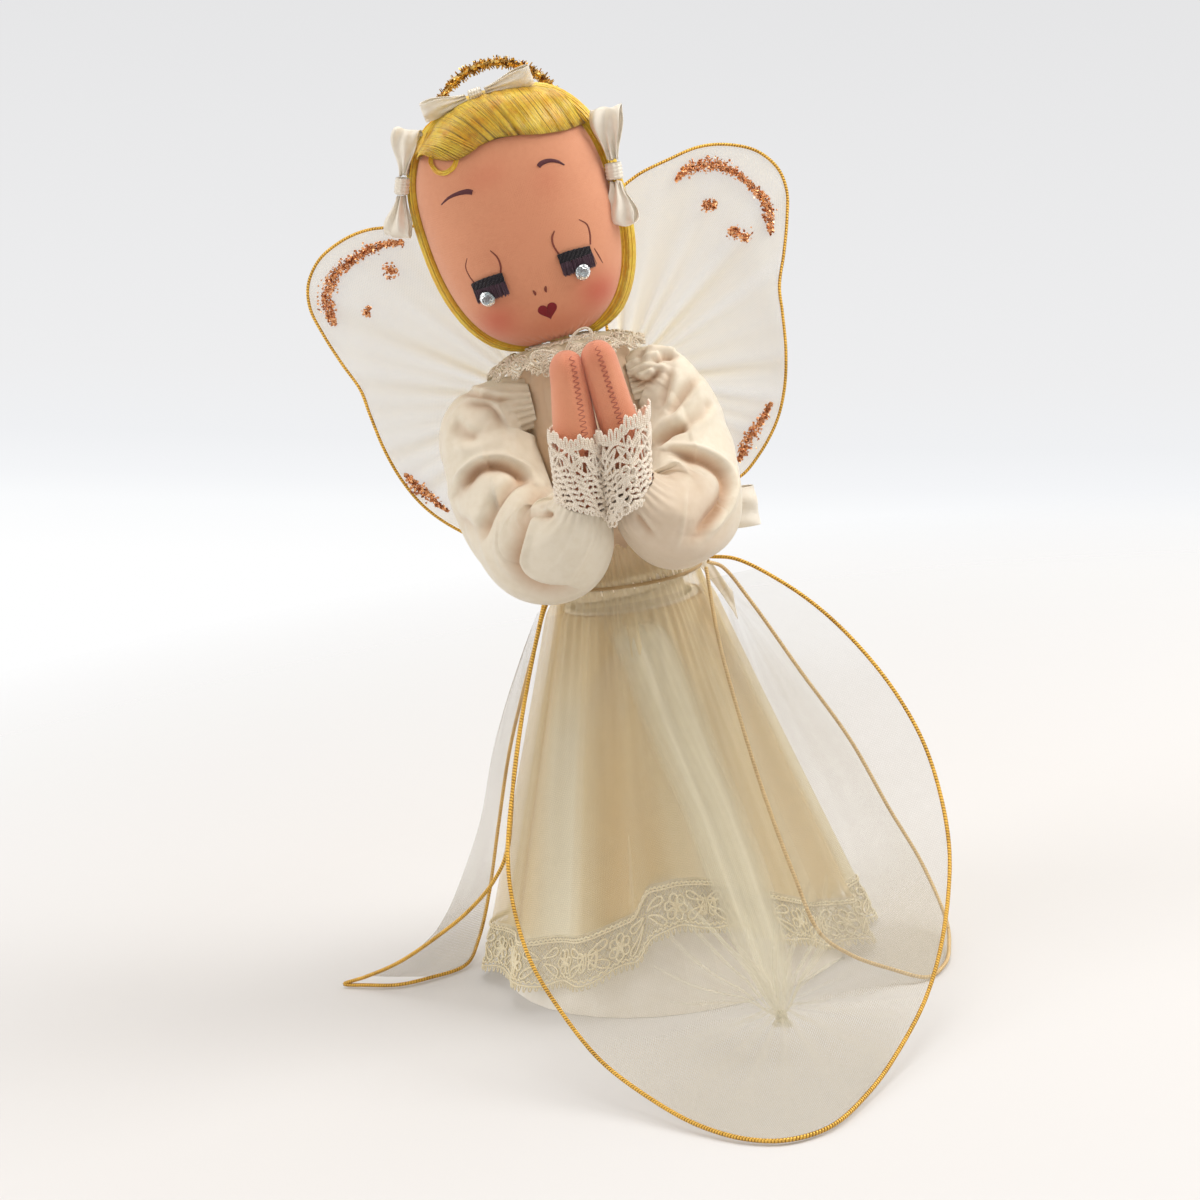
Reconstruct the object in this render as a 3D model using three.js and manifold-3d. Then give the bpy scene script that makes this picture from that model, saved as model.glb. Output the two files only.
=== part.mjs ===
// Angel tree topper: a cloth doll praying on a card cone, with wire-edged wings and three skirt petals.
// Millimetres, +Z up, the doll's front towards -Y, origin at the centre of the cone's open mouth.
import * as THREE from "three";
import { LoftGeometry } from "three/addons/geometries/LoftGeometry.js";
import { mergeVertices } from "three/addons/utils/BufferGeometryUtils.js";
import Module from "manifold-3d";

const wasm = await Module();
wasm.setup();

const degree = Math.PI / 180;
const fullTurn = 2 * Math.PI;
const quarterTurn = Math.PI / 2;

// Driving dimensions
const clearance = 0.3; // between pieces that touch
const clothWall = 0.8; // satin, lining and lace as solids
const netWall = 0.6; // sheer nylon as a solid
const bodyLean = 5.5 * degree; // the doll leans to the viewer's left above the waist
const headTilt = 3.8 * degree; // the head tilts further the same way

const cone = { rimRadius: 46, topRadius: 17, height: 95, wall: 1.2, sides: 36 };
const waistHeight = cone.height + 3;
const skirt = { foldCount: 12, hemFold: 6, waistFold: 2.2, clear: 0.8, laceHeight: 12, top: cone.height + 0.5 };
const hem = { clear: 0.8, archHeight: 23, archCentre: -71 * degree, archHalfAngle: 54 * degree, scallops: 18, scallopDepth: 1.2 };
const plug = { length: 12, radius: cone.topRadius - 2.5 };
const torso = { height: 60.5, halfWidth: 12.5, halfDepth: 11.5 };
const band = { radius: 15.2, wall: 3, low: 0.6, height: 4.6 };
const neck = { offset: -1.6, height: torso.height - 0.5, postRadius: 2.5, below: 13, above: 24 };
const head = { centre: 38.7, halfWidth: 22.4, lowHalf: 30.9, highHalf: 25.6, halfDepth: 17, maskWall: 0.9, hairWall: 2.4 };
const arm = { radius: 3.7, handHalfWidth: 4, handHalfDepth: 5.2, handsOffset: 2.2 };
const sleeve = { elbowRadius: 13, foldDepth: 1.1, folds: 5, endUp: 27 };
const cuff = { inward: 0.45, halfWidth: 4.9, halfDepth: 6.6, low: 31, height: 17, flare: 0.7 };
const collar = { innerRadius: 5, outerRadius: 18.5, lift: 1.95, drop: 2.6, ripples: 12, ripple: 0.9 };
const halo = { radius: 16.7, tube: 1.5, side: 4, up: 18, behind: 23.2, stemRadius: 0.7, stemUp: -10, stemEnd: 12 };
const stone = { radius: 2, height: 1.3, girdle: 0.5 };
const lash = { spacing: 10.9, halfWidth: 3.9, top: -11.4, drop: 6.2, wall: 0.5 };
const mouth = { halfWidth: 2.2, top: -22.2, height: 4, wall: 0.4 };
const wing = { wireRadius: 0.55, span: 64, height: 102, inset: 0.7, bulge: 1, tipShare: 0.36, rootSide: 9.6, rootDepth: 18, rootUp: 48, sweep: 0.14, rake: 0.14 };
const petalWire = { radius: 0.7, inset: 0.8 };
const ribbon = { wall: 1.6, width: 7 };

const materialOf = (color, roughness, metalness = 0) =>
  new THREE.MeshStandardMaterial({ color, roughness, metalness });
const colours = {
  card: [0xe6dcc6, 0.9], lining: [0xc9a77c, 0.8], tulle: [0xe9e2cc, 0.7], lace: [0xe7dfca, 0.85],
  satin: [0xefe6d4, 0.45], stuffing: [0xe8dccb, 0.9], skin: [0xe2a184, 0.75], hair: [0xd9ab2e, 0.4],
  ribbon: [0xf5f0e6, 0.4], goldWire: [0xc8983a, 0.35, 0.9], tinsel: [0xc08a3a, 0.3, 0.9],
  sheer: [0xf2f0e8, 0.6], felt: [0x14101a, 0.9], glassy: [0xe8f0f4, 0.05], lips: [0x7a1020, 0.6], wood: [0xcbb083, 0.7],
};

const doll = new THREE.Group();
const upper = new THREE.Group(); // everything above the waist
upper.position.z = waistHeight;
upper.rotation.y = -bodyLean;
doll.add(upper);
const headGroup = new THREE.Group();
headGroup.position.set(neck.offset, 0, neck.height);
headGroup.rotation.y = -headTilt;
upper.add(headGroup);

// Puts a named mesh with its own material into a group.
function place(group, name, geometry, colour) {
  const mesh = new THREE.Mesh(geometry, materialOf(...colours[colour]));
  mesh.name = name;
  group.add(mesh);
  return mesh;
}

// Six times the signed volume of a geometry's triangles.
function signedVolume(geometry) {
  const p = geometry.attributes.position;
  const [a, b, c] = [new THREE.Vector3(), new THREE.Vector3(), new THREE.Vector3()];
  let sum = 0;
  for (let i = 0; i < geometry.index.count; i += 3) {
    a.fromBufferAttribute(p, geometry.index.getX(i));
    b.fromBufferAttribute(p, geometry.index.getX(i + 1));
    c.fromBufferAttribute(p, geometry.index.getX(i + 2));
    sum += a.dot(b.cross(c));
  }
  return sum;
}

// A closed solid through rings of points: capped at both ends, or looped back onto its first ring.
function loft(rings, looped = false) {
  const build = (sections) =>
    new LoftGeometry(looped ? [...sections, sections[0]] : sections, { capStart: !looped, capEnd: !looped });
  const geometry = build(rings);
  return signedVolume(geometry) > 0 ? geometry : build(rings.map((ring) => [...ring].reverse()));
}

// A wall between an outer and an inner list of rings, open at both ends.
const shell = (outer, inner) => loft([...outer, ...[...inner].reverse()], true);

// Joins or cuts two geometries as solids.
function solid(geometry) {
  const bare = new THREE.BufferGeometry();
  bare.setAttribute("position", geometry.attributes.position.clone());
  if (geometry.index) bare.setIndex(geometry.index.clone());
  const merged = mergeVertices(bare);
  return new wasm.Manifold(new wasm.Mesh({
    numProp: 3, vertProperties: merged.attributes.position.array, triVerts: new Uint32Array(merged.index.array),
  }));
}
function cut(body, tool) {
  const mesh = solid(body).subtract(solid(tool)).getMesh();
  const geometry = new THREE.BufferGeometry();
  geometry.setAttribute("position", new THREE.BufferAttribute(new Float32Array(mesh.vertProperties), 3));
  geometry.setIndex(new THREE.BufferAttribute(new Uint32Array(mesh.triVerts), 1));
  geometry.computeVertexNormals();
  return geometry;
}

// A ring of points round Z: radii rx and ry at a height, shifted to a centre.
function ring(sides, rx, ry, z, cx = 0, cy = 0) {
  return Array.from({ length: sides }, (_, i) => {
    const a = (i / sides) * fullTurn;
    return new THREE.Vector3(cx + rx * Math.cos(a), cy + ry * Math.sin(a), z);
  });
}

// Rings of points carried along a curve, the first half size kept towards the front and back.
// sizeAt(t, angle) gives the two half sizes at each point.
const frontAxis = new THREE.Vector3(0, -1, 0);
function sweep(curve, steps, sides, sizeAt) {
  return Array.from({ length: steps + 1 }, (_, i) => {
    const t = i / steps;
    const centre = curve.getPointAt(t);
    const tangent = curve.getTangentAt(t);
    const across = frontAxis.clone().addScaledVector(tangent, -frontAxis.dot(tangent)).normalize();
    const along = tangent.clone().cross(across);
    return Array.from({ length: sides }, (_, j) => {
      const a = (j / sides) * fullTurn;
      const [half, otherHalf] = sizeAt(t, a);
      return centre.clone().addScaledVector(across, half * Math.cos(a)).addScaledVector(along, otherHalf * Math.sin(a));
    });
  });
}

// A round wire along a curve through points, as an extrusion of a small polygon.
function wireAlong(points, radius, steps, sides = 6) {
  const section = new THREE.Shape(
    Array.from({ length: sides }, (_, i) => {
      const a = (i / sides) * fullTurn;
      return new THREE.Vector2(radius * Math.cos(a), radius * Math.sin(a));
    }),
  );
  const path = new THREE.CatmullRomCurve3(points, false, "centripetal");
  return new THREE.ExtrudeGeometry(section, { steps, bevelEnabled: false, extrudePath: path });
}

// A smooth value between hand-chosen shares at even steps.
function blendShares(shares, t) {
  const at = Math.min(Math.max(t, 0), 1) * (shares.length - 1);
  const low = Math.min(Math.floor(at), shares.length - 2);
  return THREE.MathUtils.lerp(shares[low], shares[low + 1], at - low);
}

// Card cone, standing on its rim
const coneRadius = (z) => THREE.MathUtils.lerp(cone.rimRadius, cone.topRadius, z / cone.height);
function coneCore() {
  const outer = [0, cone.height].map((z) => ring(cone.sides, coneRadius(z), coneRadius(z), z));
  const inner = [0, cone.height].map((z) => ring(cone.sides, coneRadius(z) - cone.wall, coneRadius(z) - cone.wall, z));
  return shell(outer, inner);
}

// The hem's lower edge: flat on the ground, lifted in one arch at the front
function hemHeight(angle) {
  let away = angle - hem.archCentre;
  away = Math.abs(Math.atan2(Math.sin(away), Math.cos(away))) / hem.archHalfAngle;
  const lift = away < 1 ? Math.cos(away * quarterTurn) ** 2 : 0;
  return hem.clear + hem.archHeight * lift;
}
const skirtBottom = (angle) => hemHeight(angle) + skirt.laceHeight + clearance;

// Radius of the folded skirt's inner face: valleys near the lining, crests standing out
function skirtRadius(z, angle) {
  const depth = THREE.MathUtils.lerp(skirt.hemFold, skirt.waistFold, z / cone.height);
  const liningOut = coneRadius(z) + clearance + clothWall + clearance;
  const wave = 0.5 + 0.5 * Math.cos(skirt.foldCount * angle + Math.sin(3 * angle));
  return liningOut + depth * wave;
}
// A wall round the cone from a bottom edge to a top edge, each a height for every angle.
function skirtWall(sides, rows, bottomOf, topOf, radiusOf) {
  const wall = (extra) => Array.from({ length: rows + 1 }, (_, r) =>
    Array.from({ length: sides }, (_, i) => {
      const a = (i / sides) * fullTurn;
      const z = THREE.MathUtils.lerp(bottomOf(a), topOf(a), r / rows);
      const radius = radiusOf(z, a) + extra;
      return new THREE.Vector3(radius * Math.cos(a), radius * Math.sin(a), z);
    }));
  return shell(wall(clothWall), wall(0));
}

function hemLace() {
  const scallop = (a) => hem.scallopDepth * (0.5 - 0.5 * Math.cos(hem.scallops * a));
  return skirtWall(72, 2, (a) => hemHeight(a) + scallop(a), (a) => hemHeight(a) + skirt.laceHeight, skirtRadius);
}

// Stuffed hips: a plug in the cone's top, its upper face sloped to meet the leaning body
function hipPlug() {
  const bottom = waistHeight - plug.length;
  const fit = (z) => Math.min(plug.radius, coneRadius(z) - cone.wall - clearance);
  const sloped = ring(24, plug.radius, plug.radius, waistHeight);
  for (const p of sloped) p.z += p.x * Math.tan(bodyLean);
  return loft([ring(24, fit(bottom) * 0.8, fit(bottom) * 0.8, bottom), ring(24, fit(bottom), fit(bottom), bottom + clothWall * 2),
    ring(24, plug.radius, plug.radius, cone.height), sloped]);
}

// Stuffed torso: rings up the body as shares of its half width, half depth and height
const torsoWidthShares = [1, 1.02, 1.05, 1.08, 1.06, 0.98, 0.74, 0.36];
const torsoDepthShares = [0.92, 0.96, 1, 1.02, 1, 0.88, 0.66, 0.4];
function torsoRings(extra, fromShare, toShare, rows) {
  return Array.from({ length: rows + 1 }, (_, i) => {
    const t = THREE.MathUtils.lerp(fromShare, toShare, i / rows);
    return ring(20, torso.halfWidth * blendShares(torsoWidthShares, t) + extra,
      torso.halfDepth * blendShares(torsoDepthShares, t) + extra, clearance + torso.height * t);
  });
}
const bodiceSpanShares = [0.06, 0.92];
function bodice() {
  const inner = torsoRings(clearance, ...bodiceSpanShares, 6);
  const outer = torsoRings(clearance + clothWall, ...bodiceSpanShares, 6);
  return shell(outer, inner);
}

// A round bar along the neck's own axis, from one height to another
function neckBar(radius, low, high) {
  const bar = new THREE.CylinderGeometry(radius, radius, high - low, 20);
  bar.rotateX(quarterTurn);
  bar.translate(0, 0, (low + high) / 2);
  return bar;
}
function torsoWithSocket() {
  const socket = neckBar(neck.postRadius + clearance, -neck.below - clearance, neck.above);
  socket.rotateY(-headTilt);
  socket.translate(neck.offset, 0, neck.height);
  return cut(loft(torsoRings(0, 0, 1, 9)), socket);
}

// Arms: one stuffed tube each, from the shoulder by the elbow to a mitten hand
const reach = {
  shoulder: 16.6, elbow: 25.6, elbowFront: 18, elbowUp: 21, wristSide: 6.7, wristFront: 37.6, wristUp: 30,
  palmSide: 5.4, palmFront: 40.4, palmUp: 46, tipSide: 4.9, tipFront: 41.6, tipUp: 65,
};
const shoulder = { front: 1, up: 49, swell: 6 };
const forearm = { side: 20, front: 28.4, up: 18, lastSide: 11.5, lastFront: 36.2, lastUp: 22.4 };
function limbPoints(side, endUp) {
  const shift = arm.handsOffset;
  return [
    new THREE.Vector3(side * reach.shoulder, -shoulder.front, shoulder.up),
    new THREE.Vector3(side * (reach.shoulder + shoulder.swell), -shoulder.swell / 2, shoulder.up - shoulder.swell / 2),
    new THREE.Vector3(side * reach.elbow, -reach.elbowFront / 2, (shoulder.up + reach.elbowUp) / 2),
    new THREE.Vector3(side * reach.elbow, -reach.elbowFront, reach.elbowUp),
    new THREE.Vector3(side * forearm.side, -forearm.front, forearm.up),
    new THREE.Vector3(side * forearm.lastSide + shift, -forearm.lastFront, forearm.lastUp),
    new THREE.Vector3(side * reach.wristSide + shift, -reach.wristFront, endUp),
  ];
}
function armWithHand(side) {
  const points = [...limbPoints(side, reach.wristUp),
    new THREE.Vector3(side * reach.palmSide + arm.handsOffset, -reach.palmFront, reach.palmUp),
    new THREE.Vector3(side * reach.tipSide + arm.handsOffset, -reach.tipFront, reach.tipUp)];
  const curve = new THREE.CatmullRomCurve3(points, false, "centripetal");
  const endShares = [0.55, 0.85, 0.97, 1];
  const handFrom = 0.68;
  const rings = sweep(curve, 26, 10, (t) => {
    const toHand = THREE.MathUtils.smoothstep(t, handFrom, handFrom + 0.12);
    const fromTip = Math.min((1 - t) * 22, 3) / 3;
    const fromTop = Math.min(t * 22, 3) / 3;
    const round = blendShares(endShares, fromTip) * blendShares(endShares, fromTop);
    return [THREE.MathUtils.lerp(arm.radius, arm.handHalfDepth, toHand) * round,
      THREE.MathUtils.lerp(arm.radius, arm.handHalfWidth, toHand) * round];
  });
  return loft(rings);
}

// Puffed sleeves: radius shares of the elbow's puff along the arm, with soft folds round it
const sleeveShares = [0.5, 0.72, 0.86, 0.93, 1, 1, 0.97, 0.9, 0.78, 0.62, 0.47];
function puffedSleeve(side) {
  const curve = new THREE.CatmullRomCurve3(limbPoints(side, sleeve.endUp), false, "centripetal");
  const size = (extra) => (t, a) => {
    const puff = sleeve.elbowRadius * blendShares(sleeveShares, t);
    const fold = sleeve.foldDepth * Math.sin(Math.PI * t) * Math.sin(sleeve.folds * a + 7 * t);
    return [puff + fold + extra, puff + fold + extra];
  };
  return shell(sweep(curve, 15, 18, size(0)), sweep(curve, 15, 18, size(-clothWall)));
}

// Lace cuffs round the wrists
function laceCuff(side) {
  const rows = 3;
  const wall = (extra) => Array.from({ length: rows + 1 }, (_, i) => {
    const t = i / rows;
    const spread = cuff.flare * t;
    return ring(20, cuff.halfWidth + spread / 2 + extra, cuff.halfDepth + spread + extra,
      cuff.low + cuff.height * t, side * (reach.wristSide - cuff.inward * t) + arm.handsOffset,
      -THREE.MathUtils.lerp(reach.wristFront, reach.palmFront, t));
  });
  return shell(wall(clothWall), wall(0));
}

// Gathered lace collar, a rippled flat ring round the neck post
function collarLace() {
  const outline = (radius, height, rippled) => Array.from({ length: 48 }, (_, i) => {
    const a = (i / 48) * fullTurn;
    const wave = rippled * collar.ripple * Math.cos(collar.ripples * a);
    return new THREE.Vector3(neck.offset + radius * Math.cos(a), radius * Math.sin(a), height + wave);
  });
  const top = neck.height + collar.lift;
  return loft([outline(collar.innerRadius, top, 0), outline(collar.outerRadius, top - collar.drop, 1),
    outline(collar.outerRadius, top - collar.drop - clothWall, 1), outline(collar.innerRadius, top - clothWall, 0)], true);
}

// Head: a superellipsoid, flatter than an egg, with every covering an offset of it
const headPower = 2.5;
const girthPower = 2.3;
const signedPower = (value, power) => Math.sign(value) * Math.abs(value) ** power;
function headPoint(latitude, angle, offset) {
  const girth = Math.cos(latitude) ** (2 / headPower);
  const half = latitude < 0 ? head.lowHalf : head.highHalf;
  return new THREE.Vector3(
    (head.halfWidth + offset) * girth * signedPower(Math.sin(angle), 2 / girthPower),
    -(head.halfDepth + offset) * girth * signedPower(Math.cos(angle), 2 / girthPower),
    head.centre + (half + offset) * signedPower(Math.sin(latitude), 2 / headPower));
}
const poleLatitude = 85 * degree;
// Halo stem: a wire that leaves the back of the head and turns up to the ring
function haloStem() {
  const up = head.centre + halo.stemUp;
  const top = head.centre + halo.up - halo.radius - halo.tube - clearance;
  const at = (y, z) => new THREE.Vector3(halo.side, y, z);
  return wireAlong([at(halo.stemEnd, up), at(halo.behind - halo.stemRadius * 2, up), at(halo.behind, up + halo.stemRadius * 2), at(halo.behind, top)],
    halo.stemRadius, 10);
}
function stemBore() {
  const length = halo.behind - halo.stemEnd + clearance;
  const bore = new THREE.CylinderGeometry(halo.stemRadius + clearance, halo.stemRadius + clearance, length, 12);
  bore.translate(halo.side, halo.stemEnd - clearance + length / 2, head.centre + halo.stemUp);
  return bore;
}
function headCore() {
  const rings = Array.from({ length: 13 }, (_, i) => {
    const latitude = THREE.MathUtils.lerp(-poleLatitude, poleLatitude, i / 12);
    return Array.from({ length: 24 }, (_, j) => headPoint(latitude, (j / 24) * fullTurn, 0));
  });
  const bore = neckBar(neck.postRadius + clearance, -neck.above, neck.above + clearance);
  return cut(cut(loft(rings), bore), stemBore());
}
// A patch of covering: angle 0 is the middle of the face, a half turn the back of the head.
function headPatch(rows, columns, latitudes, angles, innerOffset, outerOffset) {
  const sections = Array.from({ length: rows + 1 }, (_, i) => {
    const latitude = THREE.MathUtils.lerp(...latitudes, i / rows);
    const line = (offset) => Array.from({ length: columns + 1 }, (_, j) =>
      headPoint(latitude, THREE.MathUtils.lerp(...angles, j / columns), offset));
    return [...line(outerOffset), ...line(innerOffset).reverse()];
  });
  return loft(sections);
}
const maskOut = clearance + head.maskWall;
const hairOut = maskOut + clearance + head.hairWall;

// A point on the face at a side and height from the head's centre, and the patch of face round it.
function facePoint(side, up, offset) {
  const half = (up < 0 ? head.lowHalf : head.highHalf) + offset;
  const girth = (1 - Math.abs(up / half) ** headPower) ** (1 / headPower);
  const share = Math.abs(side / ((head.halfWidth + offset) * girth));
  const depth = (head.halfDepth + offset) * girth * (1 - share ** girthPower) ** (1 / girthPower);
  return new THREE.Vector3(side, -depth, head.centre + up);
}
function facePatch(left, right, low, high, lift, wall) {
  const sections = Array.from({ length: 4 }, (_, i) => {
    const up = THREE.MathUtils.lerp(low, high, i / 3);
    const line = (offset) => Array.from({ length: 5 }, (_, j) =>
      facePoint(THREE.MathUtils.lerp(left, right, j / 4), up, offset));
    return [...line(maskOut + lift + wall), ...line(maskOut + lift).reverse()];
  });
  return loft(sections);
}

// Cut glass stone with a flat back, its face turned out of the cheek
function rhinestone(side) {
  const profile = [[0, 0], [stone.radius, 0], [stone.radius, stone.girdle], [stone.radius / 2, stone.height], [0, stone.height]]
    .map(([x, y]) => new THREE.Vector2(x, y));
  const geometry = new THREE.LatheGeometry(profile, 10);
  const at = facePoint(side * lash.spacing - stone.radius / 4, lash.top - lash.drop + stone.radius / 2, maskOut + clearance + lash.wall);
  const out = facePoint(side * lash.spacing, lash.top - lash.drop, maskOut).sub(facePoint(side * lash.spacing, lash.top - lash.drop, 0)).normalize();
  const gap = clearance + stone.girdle;
  geometry.applyQuaternion(new THREE.Quaternion().setFromUnitVectors(new THREE.Vector3(0, 1, 0), out));
  geometry.translate(...at.addScaledVector(out, gap));
  return geometry;
}

// Ribbon bow: two flat loops and a knot cut from one outline, drawn in the XZ plane
function bowGeometry(halfLength, halfHeight, knotHalf) {
  const shape = new THREE.Shape();
  shape.moveTo(-knotHalf, -knotHalf / 2);
  shape.quadraticCurveTo(-halfLength / 2, -halfHeight, -halfLength, -halfHeight * 0.7);
  shape.lineTo(-halfLength, halfHeight * 0.8);
  shape.quadraticCurveTo(-halfLength / 2, halfHeight, -knotHalf, knotHalf / 2);
  shape.lineTo(knotHalf, knotHalf / 2);
  shape.quadraticCurveTo(halfLength / 2, halfHeight, halfLength, halfHeight * 0.8);
  shape.lineTo(halfLength, -halfHeight * 0.7);
  shape.quadraticCurveTo(halfLength / 2, -halfHeight, knotHalf, -knotHalf / 2);
  const geometry = new THREE.ExtrudeGeometry(shape, { depth: ribbon.wall, bevelEnabled: false, curveSegments: 4 });
  geometry.rotateX(quarterTurn);
  geometry.translate(0, ribbon.wall / 2, 0);
  return geometry;
}

// The sheer net inside a wired loop whose two ends meet at the root: rungs across between inset edges,
// bulged along an axis, each point then moved by settle (which lays it over what is under it).
// The last rung lies tipShare of a rung short of the tip.
const netRungs = 15;
const netColumns = 6;
function netIn({ points, inset, bulge, bulgeAxis, tipShare, settle = (p) => p }) {
  const curve = new THREE.CatmullRomCurve3(points, false, "centripetal");
  const around = curve.getSpacedPoints(2 * netRungs);
  const middle = around.reduce((sum, p) => sum.add(p), new THREE.Vector3()).divideScalar(around.length);
  const edgeAt = (share) => {
    const p = curve.getPointAt(share);
    const run = curve.getTangentAt(share);
    const inward = middle.clone().sub(p);
    inward.addScaledVector(run, -inward.dot(run)).setLength(inset);
    return p.add(inward);
  };
  const rows = Array.from({ length: netRungs }, (_, i) => {
    const share = (((i + 1) / netRungs) * (1 - tipShare / netRungs)) / 2;
    const [a, b] = [edgeAt(share), edgeAt(1 - share)];
    return Array.from({ length: netColumns + 1 }, (_, j) => {
      const lift = bulge * Math.sin((Math.PI * j) / netColumns) * Math.sin(fullTurn * share);
      return settle(a.clone().lerp(b, j / netColumns).addScaledVector(bulgeAxis, lift));
    });
  });
  const half = netWall / 2;
  const normalAt = (r, j) => {
    const down = rows[Math.min(r + 1, rows.length - 1)][j].clone().sub(rows[Math.max(r - 1, 0)][j]);
    const side = rows[r][Math.min(j + 1, netColumns)].clone().sub(rows[r][Math.max(j - 1, 0)]);
    return down.cross(side).setLength(half);
  };
  return loft(rows.map((row, r) => [
    ...row.map((p, j) => p.clone().add(normalAt(r, j))),
    ...row.map((p, j) => p.clone().sub(normalAt(r, j))).reverse(),
  ]));
}

// Moves a point out to clear the skirt's crests by a gap.
function clearOfSkirt(point, gap) {
  const z = Math.min(point.z, cone.height);
  const depth = THREE.MathUtils.lerp(skirt.hemFold, skirt.waistFold, z / cone.height);
  const least = coneRadius(z) + clothWall * 2 + clearance * 2 + depth + gap;
  const radius = Math.hypot(point.x, point.y);
  if (radius < least) {
    point.x *= least / radius;
    point.y *= least / radius;
  }
  return point;
}

// Wing outline as shares of its span and height, from the root up, round the tip and back
const wingShares = [
  [0.15, 0.49], [0.16, 0.63], [0.2, 0.8], [0.29, 0.92], [0.41, 0.966], [0.56, 0.988], [0.69, 1], [0.8, 0.99], [0.916, 0.956],
  [0.984, 0.902], [1, 0.843], [0.973, 0.77], [0.928, 0.689], [0.88, 0.614], [0.866, 0.546], [0.844, 0.451],
  [0.805, 0.357], [0.745, 0.279], [0.648, 0.208], [0.544, 0.161], [0.42, 0.16], [0.29, 0.24], [0.2, 0.36], [0.155, 0.45],
];
function wingPoints(side) {
  return wingShares.map(([acrossShare, upShare]) => {
    const across = wing.span * acrossShare;
    const up = wing.height * upShare;
    const back = wing.rootDepth + wing.sweep * (across - wing.rootSide) + wing.rake * Math.abs(up - wing.rootUp);
    return new THREE.Vector3(side * across, back, up);
  });
}

// Petal outlines as shares of reach, half width and height: out from the axis, across it, and up
const petalHeight = waistHeight + 2;
const petals = {
  front: {
    direction: -83 * degree, reach: 126, halfWidth: 62, height: petalHeight, bulge: 2, tipShare: 0.3,
    outlineShares: [
      [0.162, -0.07, 1.012], [0.14, -0.22, 1.008], [0.125, -0.374, 0.993], [0.21, -0.511, 0.819], [0.275, -0.613, 0.649],
      [0.342, -0.697, 0.481], [0.397, -0.716, 0.379], [0.482, -0.694, 0.264], [0.575, -0.624, 0.175],
      [0.682, -0.523, 0.094], [0.79, -0.387, 0.042], [0.894, -0.25, 0.016], [0.971, -0.108, 0.009], [1, 0.013, 0.009],
      [0.984, 0.16, 0.009], [0.89, 0.355, 0.017], [0.787, 0.524, 0.042], [0.687, 0.685, 0.09], [0.596, 0.81, 0.156],
      [0.494, 0.927, 0.248], [0.443, 0.973, 0.323], [0.389, 1.005, 0.426], [0.332, 0.985, 0.561], [0.288, 0.932, 0.681],
      [0.241, 0.815, 0.783], [0.179, 0.703, 0.882], [0.115, 0.582, 0.958], [0.075, 0.43, 1.02], [0.112, 0.265, 1.03], [0.162, 0.089, 1.018],
    ],
  },
  left: {
    direction: 180 * degree, reach: 90.4, halfWidth: 36, height: petalHeight, bulge: 6.3, tipShare: 1.5,
    outlineShares: [
      [0.226, 0.06, 1.01], [0.244, 0.278, 0.975], [0.319, 0.556, 0.796], [0.382, 0.722, 0.614], [0.432, 0.833, 0.426],
      [0.482, 0.778, 0.348], [0.57, 0.611, 0.26], [0.674, 0.389, 0.179], [0.814, 0.111, 0.087], [0.93, -0.11, 0.032],
      [1, -0.194, 0.01], [0.93, -0.11, 0.009], [0.833, -0.022, 0.009], [0.744, -0.072, 0.009], [0.64, -0.222, 0.01],
      [0.6, -0.5, 0.04], [0.556, -0.806, 0.13], [0.5, -0.972, 0.3], [0.433, -0.944, 0.5], [0.35, -0.722, 0.7],
      [0.272, -0.389, 0.88], [0.228, -0.075, 1.01],
    ],
  },
  right: {
    direction: -20 * degree, reach: 73, halfWidth: 38, height: petalHeight, bulge: 2, tipShare: 0.5,
    outlineShares: [
      [0.263, 0.213, 1.01], [0.297, 0.318, 0.985], [0.371, 0.371, 0.889], [0.507, 0.439, 0.69], [0.647, 0.508, 0.489],
      [0.756, 0.529, 0.292], [0.848, 0.482, 0.159], [0.949, 0.187, 0.04], [0.986, -0.124, 0.013], [0.999, -0.424, 0.009],
      [0.96, -0.645, 0.01], [0.849, -0.703, 0.042], [0.745, -0.887, 0.108], [0.668, -0.989, 0.18], [0.593, -0.903, 0.32],
      [0.49, -0.666, 0.5], [0.415, -0.495, 0.68], [0.347, -0.289, 0.85], [0.286, 0.02, 1.01],
    ],
  },
};
function petalPoint(petal, [outShare, acrossShare, upShare]) {
  const [c, s] = [Math.cos(petal.direction), Math.sin(petal.direction)];
  const [out, across] = [petal.reach * outShare, petal.halfWidth * acrossShare];
  return new THREE.Vector3(out * c - across * s, out * s + across * c, petal.height * upShare);
}
const petalPoints = (petal) => petal.outlineShares.map((row) => petalPoint(petal, row));
const petalOut = (petal) => new THREE.Vector3(Math.cos(petal.direction), Math.sin(petal.direction), 0);

// Gathered tail of the front petal: rows down the petal's inner face to the knot
const tail = {
  wall: 2,
  rowShares: [[0.262, 0.1, 0.4, 0.7], [0.3, 0.09, 0.47, 0.6], [0.35, 0.09, 0.54, 0.48], [0.41, 0.11, 0.57, 0.36],
    [0.468, 0.12, 0.5, 0.265], [0.54, 0.13, 0.36, 0.19], [0.6, 0.145, 0.24, 0.135], [0.65, 0.155, 0.175, 0.1]],
};
function frontTail() {
  const petal = petals.front;
  const rows = tail.rowShares.map(([outShare, fromShare, toShare, upShare]) =>
    [0, 1, 2, 3, 4].map((j) => petalPoint(petal, [outShare, THREE.MathUtils.lerp(fromShare, toShare, j / 4), upShare])));
  const inward = petalOut(petal).multiplyScalar(-1).addScaledVector(new THREE.Vector3(0, 0, -1), 0.5).normalize();
  return loft(rows.map((row) => [
    ...row, ...row.map((p, j) => p.clone().addScaledVector(inward, tail.wall * (0.6 + 0.4 * Math.sin((Math.PI * j) / 4)))).reverse(),
  ]));
}

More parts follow.
